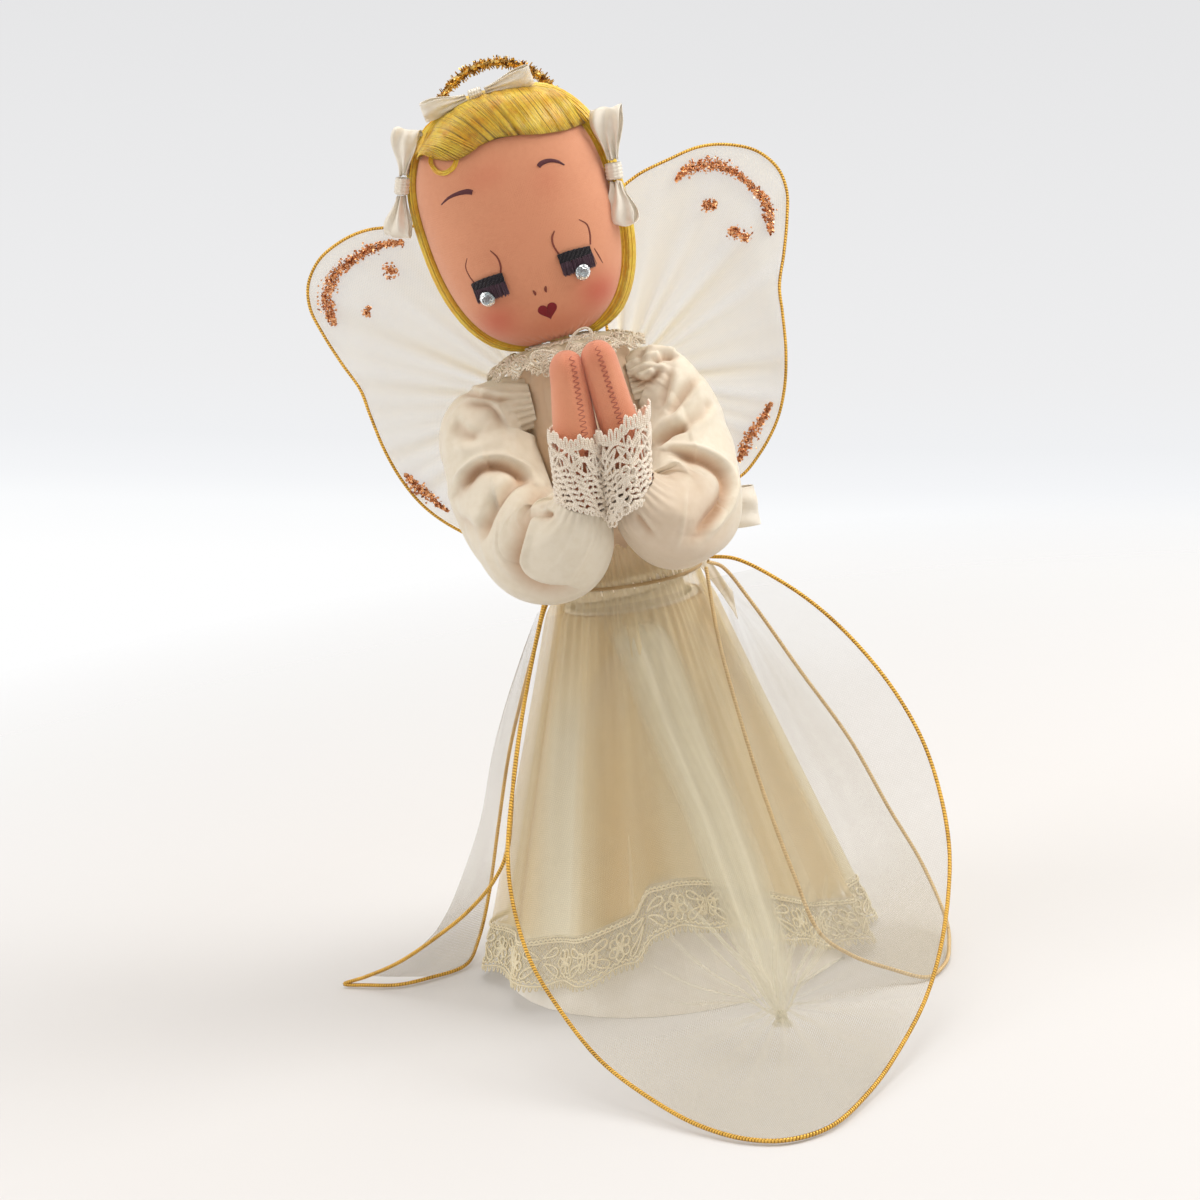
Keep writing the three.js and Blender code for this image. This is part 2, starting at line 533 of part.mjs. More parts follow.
// Skirt, from the inside out
place(doll, "cone_core", coneCore(), "card");
const liningRadius = (z) => coneRadius(z) + clearance;
place(doll, "underskirt", skirtWall(54, 3, skirtBottom, () => skirt.top - clothWall, liningRadius), "lining");
place(doll, "tulle_skirt", skirtWall(72, 5, skirtBottom, () => skirt.top, skirtRadius), "tulle");
place(doll, "hem_lace", hemLace(), "lace");
place(doll, "hip_plug", hipPlug(), "stuffing");

// Body and arms
place(upper, "torso", torsoWithSocket(), "stuffing");
place(upper, "bodice", bodice(), "satin");
const bandRings = (extra) => [0, 1].map((t) => ring(32, band.radius + extra, band.radius + extra, band.low + band.height * t));
place(upper, "waistband", shell(bandRings(band.wall), bandRings(0)), "satin");
const postMesh = place(upper, "neck_post", neckBar(neck.postRadius, -neck.below, neck.above), "wood");
postMesh.position.copy(headGroup.position);
postMesh.rotation.copy(headGroup.rotation);
place(upper, "collar_lace", collarLace(), "lace");
for (const [name, side] of [["left", -1], ["right", 1]]) {
  place(upper, `${name}_arm`, armWithHand(side), "skin");
  place(upper, `${name}_sleeve`, puffedSleeve(side), "satin");
  place(upper, `${name}_cuff`, laceCuff(side), "lace");
}

// Head and hair
place(headGroup, "head_core", headCore(), "stuffing");
const frontAngles = [-98 * degree, 98 * degree];
place(headGroup, "face_mask", headPatch(12, 14, [-76 * degree, 56 * degree], frontAngles, clearance, maskOut), "skin");
place(headGroup, "hair_bangs", headPatch(5, 12, [30 * degree, 80 * degree], [-72 * degree, 72 * degree], maskOut + clearance, hairOut + clearance), "hair");
const hairCap = headPatch(10, 12, [-62 * degree, 82 * degree], [104 * degree, 256 * degree], clearance, hairOut);
place(headGroup, "hair_cap", cut(hairCap, stemBore()), "hair");
for (const [name, side] of [["left", -1], ["right", 1]]) {
  place(headGroup, `${name}_side_hair`, headPatch(8, 3, [-66 * degree, 76 * degree],
    [side * 78 * degree, side * 100 * degree], maskOut + clearance, hairOut), "hair");
  const inner = side * lash.spacing - lash.halfWidth;
  const outer = side * lash.spacing + lash.halfWidth;
  place(headGroup, `${name}_lash`, facePatch(inner, outer, lash.top - lash.drop, lash.top, clearance, lash.wall), "felt");
  place(headGroup, `${name}_rhinestone`, rhinestone(side), "glassy");
}
place(headGroup, "mouth_patch", facePatch(-mouth.halfWidth, mouth.halfWidth, mouth.top - mouth.height, mouth.top, clearance, mouth.wall), "lips");

// Ribbon bows on the head: one on the crown and one at each temple
const crownBow = { halfLength: 14, halfHeight: 3.6, knot: 1.8, side: -1.5, front: 3, up: 32.6, turn: -8 * degree };
const sideBows = {
  left: { side: -1, halfLength: 12, up: 11, out: 27.4, lean: -2 * degree },
  right: { side: 1, halfLength: 15.5, up: 4.5, out: 27.6, lean: 5 * degree },
};
const sideBow = { halfHeight: 5, knot: 2 };
const crown = place(headGroup, "crown_bow", bowGeometry(crownBow.halfLength, crownBow.halfHeight, crownBow.knot), "ribbon");
crown.position.set(crownBow.side, -crownBow.front, head.centre + crownBow.up);
crown.rotation.y = crownBow.turn;
for (const [name, { side, halfLength, up, out, lean }] of Object.entries(sideBows)) {
  const bow = place(headGroup, `${name}_bow`, bowGeometry(halfLength, sideBow.halfHeight, sideBow.knot), "ribbon");
  bow.position.set(side * out, 0, head.centre + up);
  bow.rotation.set(0, -quarterTurn + lean, quarterTurn, "ZYX");
}

// Tinsel halo standing behind the crown on a short wire stem
const ringMesh = place(headGroup, "halo_ring", new THREE.TorusGeometry(halo.radius, halo.tube, 6, 28), "tinsel");
ringMesh.rotation.x = quarterTurn;
ringMesh.position.set(halo.side, halo.behind, head.centre + halo.up);
place(headGroup, "halo_stem", haloStem(), "goldWire");

// Wings, each a wired loop and its net, on a binding behind the shoulders
for (const [name, side] of [["left", -1], ["right", 1]]) {
  const points = wingPoints(side);
  place(upper, `${name}_wing_wire`, wireAlong(points, wing.wireRadius, 48, 5), "goldWire");
  place(upper, `${name}_wing_net`, netIn({
    points, inset: wing.wireRadius + wing.inset, bulge: wing.bulge, bulgeAxis: frontAxis.clone().negate(), tipShare: wing.tipShare,
  }), "sheer");
}

// Thread binding that holds both wing wires behind the shoulders
const binding = { halfWidth: 10.6, front: 11.3, back: 17, halfHeight: 5, up: 50 };
const bindingBlock = new THREE.BoxGeometry(binding.halfWidth * 2, binding.back - binding.front, binding.halfHeight * 2);
bindingBlock.translate(0, (binding.back + binding.front) / 2, binding.up);
place(upper, "wing_binding", bindingBlock, "ribbon");

// Small loop bow on the collar and the ribbon bow behind the waist
const collarBow = { halfLength: 5, halfHeight: 3.2, knot: 1.2, side: -5, front: 20.2, up: neck.height, turn: -25 * degree };
const collarLoops = place(upper, "collar_bow", bowGeometry(collarBow.halfLength, collarBow.halfHeight, collarBow.knot), "ribbon");
collarLoops.position.set(collarBow.side, -collarBow.front, collarBow.up);
collarLoops.rotation.y = collarBow.turn;
const backBow = { halfLength: 23, halfHeight: 5.5, knot: 2, side: 15, back: 19.4, up: 10.3, turn: -3 * degree };
const backLoops = place(upper, "back_bow", bowGeometry(backBow.halfLength, backBow.halfHeight, backBow.knot), "ribbon");
backLoops.position.set(backBow.side, backBow.back, backBow.up);
backLoops.rotation.y = backBow.turn;

// Petals, their wire ends gathered on a tie ring at the waist
const tie = { radius: 19.05, tube: 0.45, height: waistHeight + 3.5 };
const tieRing = place(doll, "waist_tie", new THREE.TorusGeometry(tie.radius, tie.tube, 5, 28), "goldWire");
tieRing.position.z = tie.height;
for (const [name, petal] of Object.entries(petals)) {
  const points = petalPoints(petal);
  place(doll, `${name}_petal_wire`, wireAlong(points, petalWire.radius, 56, 5), "goldWire");
  const settle = (p) => clearOfSkirt(p, clearance + netWall);
  const { bulge, tipShare } = petal;
  const inset = petalWire.radius + petalWire.inset;
  place(doll, `${name}_petal_net`, netIn({ points, inset, bulge, bulgeAxis: petalOut(petal), tipShare, settle }), "sheer");
}
place(doll, "front_petal_tail", frontTail(), "tulle");

export default doll;
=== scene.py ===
import bpy
import numpy as np
from mathutils import Matrix


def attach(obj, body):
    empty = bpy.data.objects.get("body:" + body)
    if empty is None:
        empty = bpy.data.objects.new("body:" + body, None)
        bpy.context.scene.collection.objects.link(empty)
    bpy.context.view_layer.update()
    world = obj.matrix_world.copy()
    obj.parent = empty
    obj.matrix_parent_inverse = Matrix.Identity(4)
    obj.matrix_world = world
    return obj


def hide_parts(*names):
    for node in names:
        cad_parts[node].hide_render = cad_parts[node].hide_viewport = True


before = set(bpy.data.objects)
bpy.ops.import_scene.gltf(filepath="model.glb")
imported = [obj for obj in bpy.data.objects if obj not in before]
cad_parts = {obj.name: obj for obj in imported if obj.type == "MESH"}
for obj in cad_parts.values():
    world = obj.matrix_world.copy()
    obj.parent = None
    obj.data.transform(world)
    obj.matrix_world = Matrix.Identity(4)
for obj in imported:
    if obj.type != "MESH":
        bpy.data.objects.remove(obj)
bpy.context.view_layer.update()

mm = 0.001
fullTurn = 2 * np.pi
scene = bpy.context.scene
scene.view_settings.view_transform = "Standard"

# Camera, as the photograph was taken
cameraSetup = {"back": 0.560, "up": 0.205, "lens": 67.2, "yaw": -0.798, "pitch": 11.07, "roll": 8.5}


# Columns are right, up and backward: forward = (sin yaw cos pitch, cos yaw cos pitch, -sin pitch), rolled about it.
def makeCamera():
    yaw, pitch, roll = (np.radians(cameraSetup[key]) for key in ("yaw", "pitch", "roll"))
    forward = np.array([np.sin(yaw) * np.cos(pitch), np.cos(yaw) * np.cos(pitch), -np.sin(pitch)])
    level = np.array([np.cos(yaw), -np.sin(yaw), 0.0])
    upright = np.cross(level, forward)
    right = np.cos(roll) * level - np.sin(roll) * upright
    up = np.sin(roll) * level + np.cos(roll) * upright
    camera = bpy.data.objects.new("photo_camera", bpy.data.cameras.new("photo_camera"))
    camera.data.lens = cameraSetup["lens"]
    camera.data.sensor_width = 36
    camera.data.clip_start = 0.01
    place = np.array([0.0, -cameraSetup["back"], cameraSetup["up"]])
    matrix = np.eye(4)
    matrix[:3, 0], matrix[:3, 1], matrix[:3, 2], matrix[:3, 3] = right, up, -forward, place
    camera.matrix_world = Matrix(matrix.tolist())
    scene.collection.objects.link(camera)
    scene.camera = camera


makeCamera()


# Shapes as arrays
# A shape is a dictionary: points (N, 3) in mm, faces (arrays of corner numbers), uvs (one array per face array),
# and marks, named values for each point.
def unit(vectors):
    return vectors / np.maximum(np.linalg.norm(vectors, axis=-1, keepdims=True), 1e-9)


def smoothStep(low, high, x):
    t = np.clip((x - low) / (high - low), 0, 1)
    return t * t * (3 - 2 * t)


def lerp(a, b, t):
    return a + (b - a) * t


# Quads over a grid of points; wrapping joins the last row or column to the first.
# The picture of the grid (uvGrid) has one row or column more where it wraps.
def gridShape(points, uvGrid, wrapRows=False, wrapColumns=False, capEnds=False, marks=None, outward=False):
    rows, columns = points.shape[:2]
    r0, c0 = np.meshgrid(np.arange(rows if wrapRows else rows - 1),
                         np.arange(columns if wrapColumns else columns - 1), indexing="ij")
    r1, c1 = r0 + 1, c0 + 1
    quads = np.stack([r0 * columns + c0, r0 * columns + c1 % columns, (r1 % rows) * columns + c1 % columns,
                      (r1 % rows) * columns + c0], axis=-1).reshape(-1, 4)
    cornerRows = np.stack([r0, r0, r1, r1], axis=-1).reshape(-1, 4)
    cornerColumns = np.stack([c0, c1, c1, c0], axis=-1).reshape(-1, 4)
    faces, uvs = [quads], [uvGrid[cornerRows, cornerColumns]]
    if capEnds:
        for row, order in ((0, slice(None)), (rows - 1, slice(None, None, -1))):
            ends = (row * columns + np.arange(columns))[order]
            faces.append(ends[None])
            uvs.append(uvGrid[row, :columns][order][None])
    flat = points.reshape(-1, 3)
    if outward and signedVolume(flat, faces) < 0:
        faces = [f[:, ::-1] for f in faces]
        uvs = [u[:, ::-1] for u in uvs]
    return {"points": flat, "faces": faces, "uvs": uvs,
            "marks": {key: value.reshape(-1) for key, value in (marks or {}).items()}}


# Sum over faces of a . (b x c) for each fan triangle.
def signedVolume(points, faces):
    total = 0.0
    for f in faces:
        for k in range(1, f.shape[1] - 1):
            a, b, c = points[f[:, 0]], points[f[:, k]], points[f[:, k + 1]]
            total += np.einsum("ij,ij->i", a, np.cross(b, c)).sum()
    return total


# Round threads along many paths at once: paths (S, N, 3), point = path + r (n cos t + (tangent x n) sin t),
# where n is the reference direction made square to the path.
def threadShape(paths, references, radius, sides=4, closed=False, flatten=1.0, marks=None):
    paths = np.asarray(paths, float)
    count, steps = paths.shape[:2]
    if closed:
        tangents = np.roll(paths, -1, axis=1) - np.roll(paths, 1, axis=1)
    else:
        tangents = np.gradient(paths, axis=1)
    tangents = unit(tangents)
    n = np.broadcast_to(np.asarray(references, float), paths.shape)
    n = unit(n - (n * tangents).sum(-1, keepdims=True) * tangents)
    b = np.cross(tangents, n)
    radius = np.broadcast_to(np.asarray(radius, float), (count, steps))[..., None, None]
    angle = np.arange(sides) / sides * fullTurn
    ringPoints = paths[:, :, None] + radius * (
        flatten * np.cos(angle)[None, None, :, None] * n[:, :, None] + np.sin(angle)[None, None, :, None] * b[:, :, None])
    spans = steps if closed else steps - 1
    s, i, k = np.meshgrid(np.arange(count), np.arange(spans), np.arange(sides), indexing="ij")
    i1, k1 = (i + 1) % steps, (k + 1) % sides
    at = lambda row, side: (s * steps + row) * sides + side
    quads = np.stack([at(i, k), at(i, k1), at(i1, k1), at(i1, k)], axis=-1).reshape(-1, 4)
    lengths = np.concatenate([np.zeros((count, 1)), np.cumsum(np.linalg.norm(
        np.diff(paths, axis=1, append=paths[:, :1]), axis=-1), axis=1)], axis=1)
    u0, u1 = lengths[s, i], lengths[s, i + 1]
    v0, v1 = k / sides, (k + 1) / sides
    uv = np.stack([np.stack([u0, u0, u1, u1], -1), np.stack([v0, v1, v1, v0], -1)], axis=-1).reshape(-1, 4, 2)
    faces, uvs = [quads], [uv]
    if not closed:
        base = np.arange(count)[:, None] * steps * sides
        first = base + np.arange(sides)[None, ::-1]
        last = base + (steps - 1) * sides + np.arange(sides)[None]
        for caps, share in ((first, 0), (last, 1)):
            faces.append(caps)
            uvs.append(np.stack([np.full(caps.shape, 1.0 * share), np.full(caps.shape, 0.5)], axis=-1))
    spread = {key: np.broadcast_to(np.asarray(value, float).reshape(count, -1, 1), (count, steps, sides)).reshape(-1)
              for key, value in (marks or {}).items()}
    return {"points": ringPoints.reshape(-1, 3), "faces": faces, "uvs": uvs, "marks": spread}


def joinShapes(*shapes):
    names = sorted({name for shape in shapes for name in shape["marks"]})
    start, faces, uvs = 0, [], []
    for shape in shapes:
        faces += [f + start for f in shape["faces"]]
        uvs += shape["uvs"]
        start += len(shape["points"])
    marks = {name: np.concatenate([shape["marks"].get(name, np.zeros(len(shape["points"]))) for shape in shapes])
             for name in names}
    return {"points": np.concatenate([shape["points"] for shape in shapes]), "faces": faces, "uvs": uvs, "marks": marks}


def moved(shape, change):
    return {**shape, "points": change(shape["points"])}


# Sets a shape into a mesh object that rides a body, takes a slot and stands for CAD nodes.
def piece(name, shape, material, body, nodes=(), smooth=True, thickness=0.0, sharp=False):
    mesh = bpy.data.meshes.new(name)
    points = np.asarray(shape["points"], float)
    mesh.vertices.add(len(points))
    mesh.vertices.foreach_set("co", (points * mm).astype(np.float32).ravel())
    corners = np.concatenate([f.ravel() for f in shape["faces"]]).astype(np.int32)
    sizes = np.concatenate([np.full(len(f), f.shape[1]) for f in shape["faces"]])
    mesh.loops.add(len(corners))
    mesh.loops.foreach_set("vertex_index", corners)
    mesh.polygons.add(len(sizes))
    mesh.polygons.foreach_set("loop_start", np.concatenate([[0], np.cumsum(sizes)[:-1]]).astype(np.int32))
    mesh.polygons.foreach_set("use_smooth", np.full(len(sizes), smooth))
    layer = mesh.uv_layers.new(name="cloth")
    layer.data.foreach_set("uv", np.concatenate([u.reshape(-1, 2) for u in shape["uvs"]]).astype(np.float32).ravel())
    for key, values in shape["marks"].items():
        mark = mesh.attributes.new(key, "FLOAT", "POINT")
        mark.data.foreach_set("value", values.astype(np.float32))
    mesh.update(calc_edges=True)
    mesh.validate()
    mesh.materials.append(material)
    made = bpy.data.objects.new(name, mesh)
    scene.collection.objects.link(made)
    if thickness:
        wall = made.modifiers.new("wall", "SOLIDIFY")
        wall.thickness = thickness * mm
        wall.offset = 0
    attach(made, body)
    if nodes:
        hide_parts(*nodes)
    return made


# A centripetal Catmull-Rom curve through points, the same curve as the CAD's, kept as dense points and lengths.
def pathThrough(points, perSpan=24):
    p = np.asarray(points, float)
    p = np.vstack([2 * p[0] - p[1], p, 2 * p[-1] - p[-2]])
    gaps = np.sqrt(np.linalg.norm(np.diff(p, axis=0), axis=1))[:, None, None]
    x0, x1, x2, x3 = (p[k:len(p) - 3 + k, None] for k in range(4))
    d0, d1, d2 = gaps[:-2], gaps[1:-1], gaps[2:]
    t1 = ((x1 - x0) / d0 - (x2 - x0) / (d0 + d1) + (x2 - x1) / d1) * d1
    t2 = ((x2 - x1) / d1 - (x3 - x1) / (d1 + d2) + (x3 - x2) / d2) * d1
    w = (np.arange(perSpan) / perSpan)[None, :, None]
    dense = x1 + t1 * w + (-3 * x1 + 3 * x2 - 2 * t1 - t2) * w**2 + (2 * x1 - 2 * x2 + t1 + t2) * w**3
    dense = np.vstack([dense.reshape(-1, 3), p[-2]])
    lengths = np.concatenate([[0], np.cumsum(np.linalg.norm(np.diff(dense, axis=0), axis=1))])
    return dense, lengths


# Points at shares of a path's length.
def along(path, shares):
    dense, lengths = path
    at = np.clip(shares, 0, 1) * lengths[-1]
    return np.stack([np.interp(at, lengths, dense[:, k]) for k in range(3)], axis=-1)


# Smooth noise of one or two variables: a sum of sines whose phases come from the seed.
def ripples(seed, terms, *variables):
    picker = np.random.default_rng(seed)
    total = 0.0
    for _ in range(terms):
        phase = picker.uniform(0, fullTurn)
        for variable in variables:
            phase = phase + variable * picker.uniform(0.5, 1.6) * picker.choice([-1, 1])
        total = total + np.sin(phase)
    return total / terms


# The doll's leaning frames: above the waist, and the head on its neck.
pose = {"waist": 98.0, "lean": 5.5, "neckSide": -1.6, "neckUp": 60.0, "tilt": 3.8}


def leaned(points, degrees, base):
    c, s = np.cos(np.radians(degrees)), np.sin(np.radians(degrees))
    x, y, z = np.moveaxis(np.asarray(points, float), -1, 0)
    return np.stack([x * c - z * s, y, x * s + z * c], axis=-1) + np.asarray(base, float)


def fromUpper(points):
    return leaned(points, pose["lean"], (0, 0, pose["waist"]))


def fromHead(points):
    return fromUpper(leaned(points, pose["tilt"], (pose["neckSide"], 0, pose["neckUp"])))


# Material nodes
def srgb(*levels):
    c = np.array(levels) / 255
    linear = np.where(c <= 0.04045, c / 12.92, ((c + 0.055) / 1.055) ** 2.4)
    return (*linear, 1.0)


def newNode(tree, kind, inputs=None, **settings):
    made = tree.nodes.new(kind)
    for key, value in settings.items():
        setattr(made, key, value)
    for key, value in (inputs or {}).items():
        if isinstance(value, bpy.types.NodeSocket):
            tree.links.new(value, made.inputs[key])
        else:
            made.inputs[key].default_value = value
    return made


def calc(tree, operation, a, b=0.0, c=None, clamp=False):
    inputs = {0: a, 1: b} if c is None else {0: a, 1: b, 2: c}
    return newNode(tree, "ShaderNodeMath", inputs, operation=operation, use_clamp=clamp).outputs[0]


def blendColour(tree, share, a, b, mode="MIX"):
    made = newNode(tree, "ShaderNodeMix", {0: share, 6: a, 7: b}, data_type="RGBA", blend_type=mode)
    return made.outputs[2]


def remap(tree, value, low, high, newLow, newHigh):
    return newNode(tree, "ShaderNodeMapRange", {0: value, 1: low, 2: high, 3: newLow, 4: newHigh}).outputs[0]


def newGroup(name, inputs, outputs):
    group = bpy.data.node_groups.new(name, "ShaderNodeTree")
    for label, kind, value in inputs:
        socket = group.interface.new_socket(label, in_out="INPUT", socket_type=kind)
        if value is not None:
            socket.default_value = value
    for label, kind in outputs:
        group.interface.new_socket(label, in_out="OUTPUT", socket_type=kind)
    return group, newNode(group, "NodeGroupInput").outputs, newNode(group, "NodeGroupOutput").inputs


number, vector, colour = "NodeSocketFloat", "NodeSocketVector", "NodeSocketColor"


# Plain weave on (u, v) in mm: over threads are |sin(pi u)| ridges, under threads |sin(pi v)|, swapped by a checker.
def makeWeave():
    group, given, result = newGroup("weave", [("Vector", vector, None), ("Threads", number, 4.0)],
                                    [("Height", number), ("Gap", number)])
    scaled = newNode(group, "ShaderNodeVectorMath", {0: given["Vector"], 3: given["Threads"]}, operation="SCALE")
    parts = newNode(group, "ShaderNodeSeparateXYZ", {0: scaled.outputs[0]})
    ridges = [calc(group, "ABSOLUTE", calc(group, "SINE", calc(group, "MULTIPLY", parts.outputs[k], np.pi)))
              for k in (0, 1)]
    checker = newNode(group, "ShaderNodeTexChecker", {"Vector": scaled.outputs[0], "Scale": 1.0})
    over = newNode(group, "ShaderNodeMix", {0: checker.outputs["Fac"], 2: ridges[0], 3: ridges[1]}, data_type="FLOAT")
    group.links.new(over.outputs[0], result["Height"])
    group.links.new(calc(group, "MULTIPLY", calc(group, "SUBTRACT", 1.0, ridges[0]),
                         calc(group, "SUBTRACT", 1.0, ridges[1])), result["Gap"])
    return group


# Uneven tone: a broad and a fine noise added, centred on zero.
def makeMottle():
    group, given, result = newGroup("mottle", [("Vector", vector, None), ("Scale", number, 60.0), ("Fine", number, 8.0)],
                                    [("Tone", number)])
    broad = newNode(group, "ShaderNodeTexNoise", {"Vector": given["Vector"], "Scale": given["Scale"], "Detail": 3.0})
    fine = newNode(group, "ShaderNodeTexNoise", {"Vector": given["Vector"], "Detail": 2.0,
                   "Scale": calc(group, "MULTIPLY", given["Scale"], given["Fine"])})
    total = calc(group, "ADD", broad.outputs["Fac"], calc(group, "MULTIPLY", fine.outputs["Fac"], 0.5))
    group.links.new(calc(group, "SUBTRACT", total, 0.75), result["Tone"])
    return group


# Streaks along u: noise drawn out by the ratio of the two scales.
def makeStreaks():
    group, given, result = newGroup("streaks", [("Vector", vector, None), ("Along", number, 0.1), ("Across", number, 3.0)],
                                    [("Tone", number)])
    parts = newNode(group, "ShaderNodeSeparateXYZ", {0: given["Vector"]})
    drawn = newNode(group, "ShaderNodeCombineXYZ", {0: calc(group, "MULTIPLY", parts.outputs[0], given["Along"]),
                    1: calc(group, "MULTIPLY", parts.outputs[1], given["Across"]), 2: parts.outputs[2]})
    noise = newNode(group, "ShaderNodeTexNoise", {"Vector": drawn.outputs[0], "Scale": 1.0, "Detail": 3.0})
    group.links.new(noise.outputs["Fac"], result["Tone"])
    return group


# Thread wound round a core: ridge = |sin(pi (u / pitch + v))|, with u along in mm and v once round.
def makeWinding():
    group, given, result = newGroup("winding", [("Vector", vector, None), ("Pitch", number, 0.7)], [("Ridge", number)])
    parts = newNode(group, "ShaderNodeSeparateXYZ", {0: given["Vector"]})
    turns = calc(group, "ADD", calc(group, "DIVIDE", parts.outputs[0], given["Pitch"]), parts.outputs[1])
    group.links.new(calc(group, "ABSOLUTE", calc(group, "SINE", calc(group, "MULTIPLY", turns, np.pi))), result["Ridge"])
    return group


# Random cells: one value for each small flake.
def makeFlakes():
    group, given, result = newGroup("flakes", [("Vector", vector, None), ("Scale", number, 900.0)],
                                    [("Tone", number), ("Edge", number)])
    cells = newNode(group, "ShaderNodeTexVoronoi", {"Vector": given["Vector"], "Scale": given["Scale"]})
    tone = newNode(group, "ShaderNodeSeparateColor", {0: cells.outputs["Color"]})
    group.links.new(tone.outputs[0], result["Tone"])
    group.links.new(cells.outputs["Distance"], result["Edge"])
    return group


groups = {"weave": makeWeave(), "mottle": makeMottle(), "streaks": makeStreaks(), "winding": makeWinding(),
          "flakes": makeFlakes()}


# A material starts as its tree, its Principled shader and its two coordinates (own cloth map, object place).
def newMaterial(name, roughness=0.7, **sockets):
    material = bpy.data.materials.new(name)
    material.use_nodes = True
    tree = material.node_tree
    shader = tree.nodes["Principled BSDF"]
    shader.inputs["Roughness"].default_value = roughness
    for key, value in sockets.items():
        shader.inputs[key.replace("_", " ")].default_value = value
    clothMap = newNode(tree, "ShaderNodeUVMap", uv_map="cloth").outputs[0]
    place = newNode(tree, "ShaderNodeTexCoord").outputs["Object"]
    return material, tree, shader, clothMap, place


def useGroup(tree, name, **inputs):
    made = newNode(tree, "ShaderNodeGroup", node_tree=groups[name])
    for key, value in inputs.items():
        if isinstance(value, bpy.types.NodeSocket):
            tree.links.new(value, made.inputs[key])
        else:
            made.inputs[key].default_value = value
    return made.outputs


def bumped(tree, shader, height, depth, strength=1.0, below=None):
    bump = newNode(tree, "ShaderNodeBump", {"Height": height, "Distance": depth * mm, "Strength": strength})
    if below is not None:
        tree.links.new(below, bump.inputs["Normal"])
    tree.links.new(bump.outputs[0], shader.inputs["Normal"])
    return bump.outputs[0]


def markValue(tree, name):
    return newNode(tree, "ShaderNodeAttribute", attribute_name=name).outputs["Fac"]


# Woven or knitted cloth: weave and mottle make the colour, roughness and bump; a mark may lighten or tint it.
def clothMaterial(name, base, shade, threads=3.0, roughness=0.7, sheen=0.3, weaveDepth=0.05, toneScale=90.0,
                  toneDepth=0.6, mark=None, markColour=None, roughLow=None, specular=0.4):
    material, tree, shader, clothMap, place = newMaterial(name, roughness, Sheen_Weight=sheen, Sheen_Roughness=0.4,
                                                          Specular_IOR_Level=specular)
    weave = useGroup(tree, "weave", Vector=clothMap, Threads=threads)
    tone = useGroup(tree, "mottle", Vector=place, Scale=toneScale)["Tone"]
    share = calc(tree, "ADD", calc(tree, "MULTIPLY", tone, 1.6), calc(tree, "MULTIPLY", weave["Height"], 0.25), clamp=True)
    body = blendColour(tree, calc(tree, "MULTIPLY", share, toneDepth), base, shade)
    if mark:
        body = blendColour(tree, markValue(tree, mark), body, markColour)
    tree.links.new(body, shader.inputs["Base Color"])
    tree.links.new(remap(tree, weave["Height"], 0.0, 1.0, roughness + 0.08, roughness - 0.06), shader.inputs["Roughness"])
    bumped(tree, shader, weave["Height"], weaveDepth)
    return material


# Satin: soft sheen with fine thread lines along v, a pearly tone, and painted warm brown shade in the folds where the
# fold mark is set.
def satinMaterial(name, base, shade, roughness=0.42, toneDepth=0.7, paintedShade=None):
    material, tree, shader, clothMap, place = newMaterial(name, roughness, Sheen_Weight=0.3, Sheen_Roughness=0.35,
                                                          Specular_IOR_Level=0.4)
    threads = useGroup(tree, "streaks", Vector=clothMap, Along=0.6, Across=9.0)["Tone"]
    weave = useGroup(tree, "weave", Vector=clothMap, Threads=5.0)
    tone = useGroup(tree, "mottle", Vector=place, Scale=70.0)["Tone"]
    share = calc(tree, "ADD", calc(tree, "MULTIPLY", tone, 1.8), calc(tree, "MULTIPLY", threads, 0.3), clamp=True)
    body = blendColour(tree, calc(tree, "MULTIPLY", share, toneDepth), base, shade)
    # painted shade: the fold mark blends the satin towards a warm brown
    if paintedShade:
        body = blendColour(tree, markValue(tree, "fold"), body, paintedShade)
    tree.links.new(body, shader.inputs["Base Color"])
    tree.links.new(remap(tree, threads, 0.3, 0.7, roughness - 0.07, roughness + 0.09), shader.inputs["Roughness"])
    bumped(tree, shader, calc(tree, "ADD", calc(tree, "MULTIPLY", threads, 0.7), weave["Height"]), 0.02)
    return material


# Sheer nylon: white threads with light through them; a density mark makes pleats and gathered places denser, and in
# places it carries painted shade and light.
def sheerMaterial(name, base, dense, alphaLow, alphaHigh, threads=2.4, roughness=0.55):
    material, tree, shader, clothMap, place = newMaterial(name, roughness, Sheen_Weight=0.4, Sheen_Roughness=0.3,
                                                          Specular_IOR_Level=0.3)
    weave = useGroup(tree, "weave", Vector=clothMap, Threads=threads)
    tone = useGroup(tree, "mottle", Vector=place, Scale=55.0)["Tone"]
    pleat = markValue(tree, "pleat")
    mist = calc(tree, "ADD", pleat, calc(tree, "MULTIPLY", tone, 0.12), clamp=True)
    tree.links.new(blendColour(tree, mist, base, dense), shader.inputs["Base Color"])
    alpha = remap(tree, mist, 0.0, 1.0, alphaLow, alphaHigh)
    holes = calc(tree, "MULTIPLY", weave["Gap"], 0.22)
    # a mark below 0 fades a gathered edge out
    shown = calc(tree, "ADD", calc(tree, "MULTIPLY", pleat, 5.0), 1.0, clamp=True)
    solid = calc(tree, "SUBTRACT", alpha, holes, clamp=True)
    tree.links.new(calc(tree, "MULTIPLY", solid, shown), shader.inputs["Alpha"])
    bumped(tree, shader, calc(tree, "ADD", weave["Height"], calc(tree, "MULTIPLY", pleat, 3.0)), 0.03)
    return material


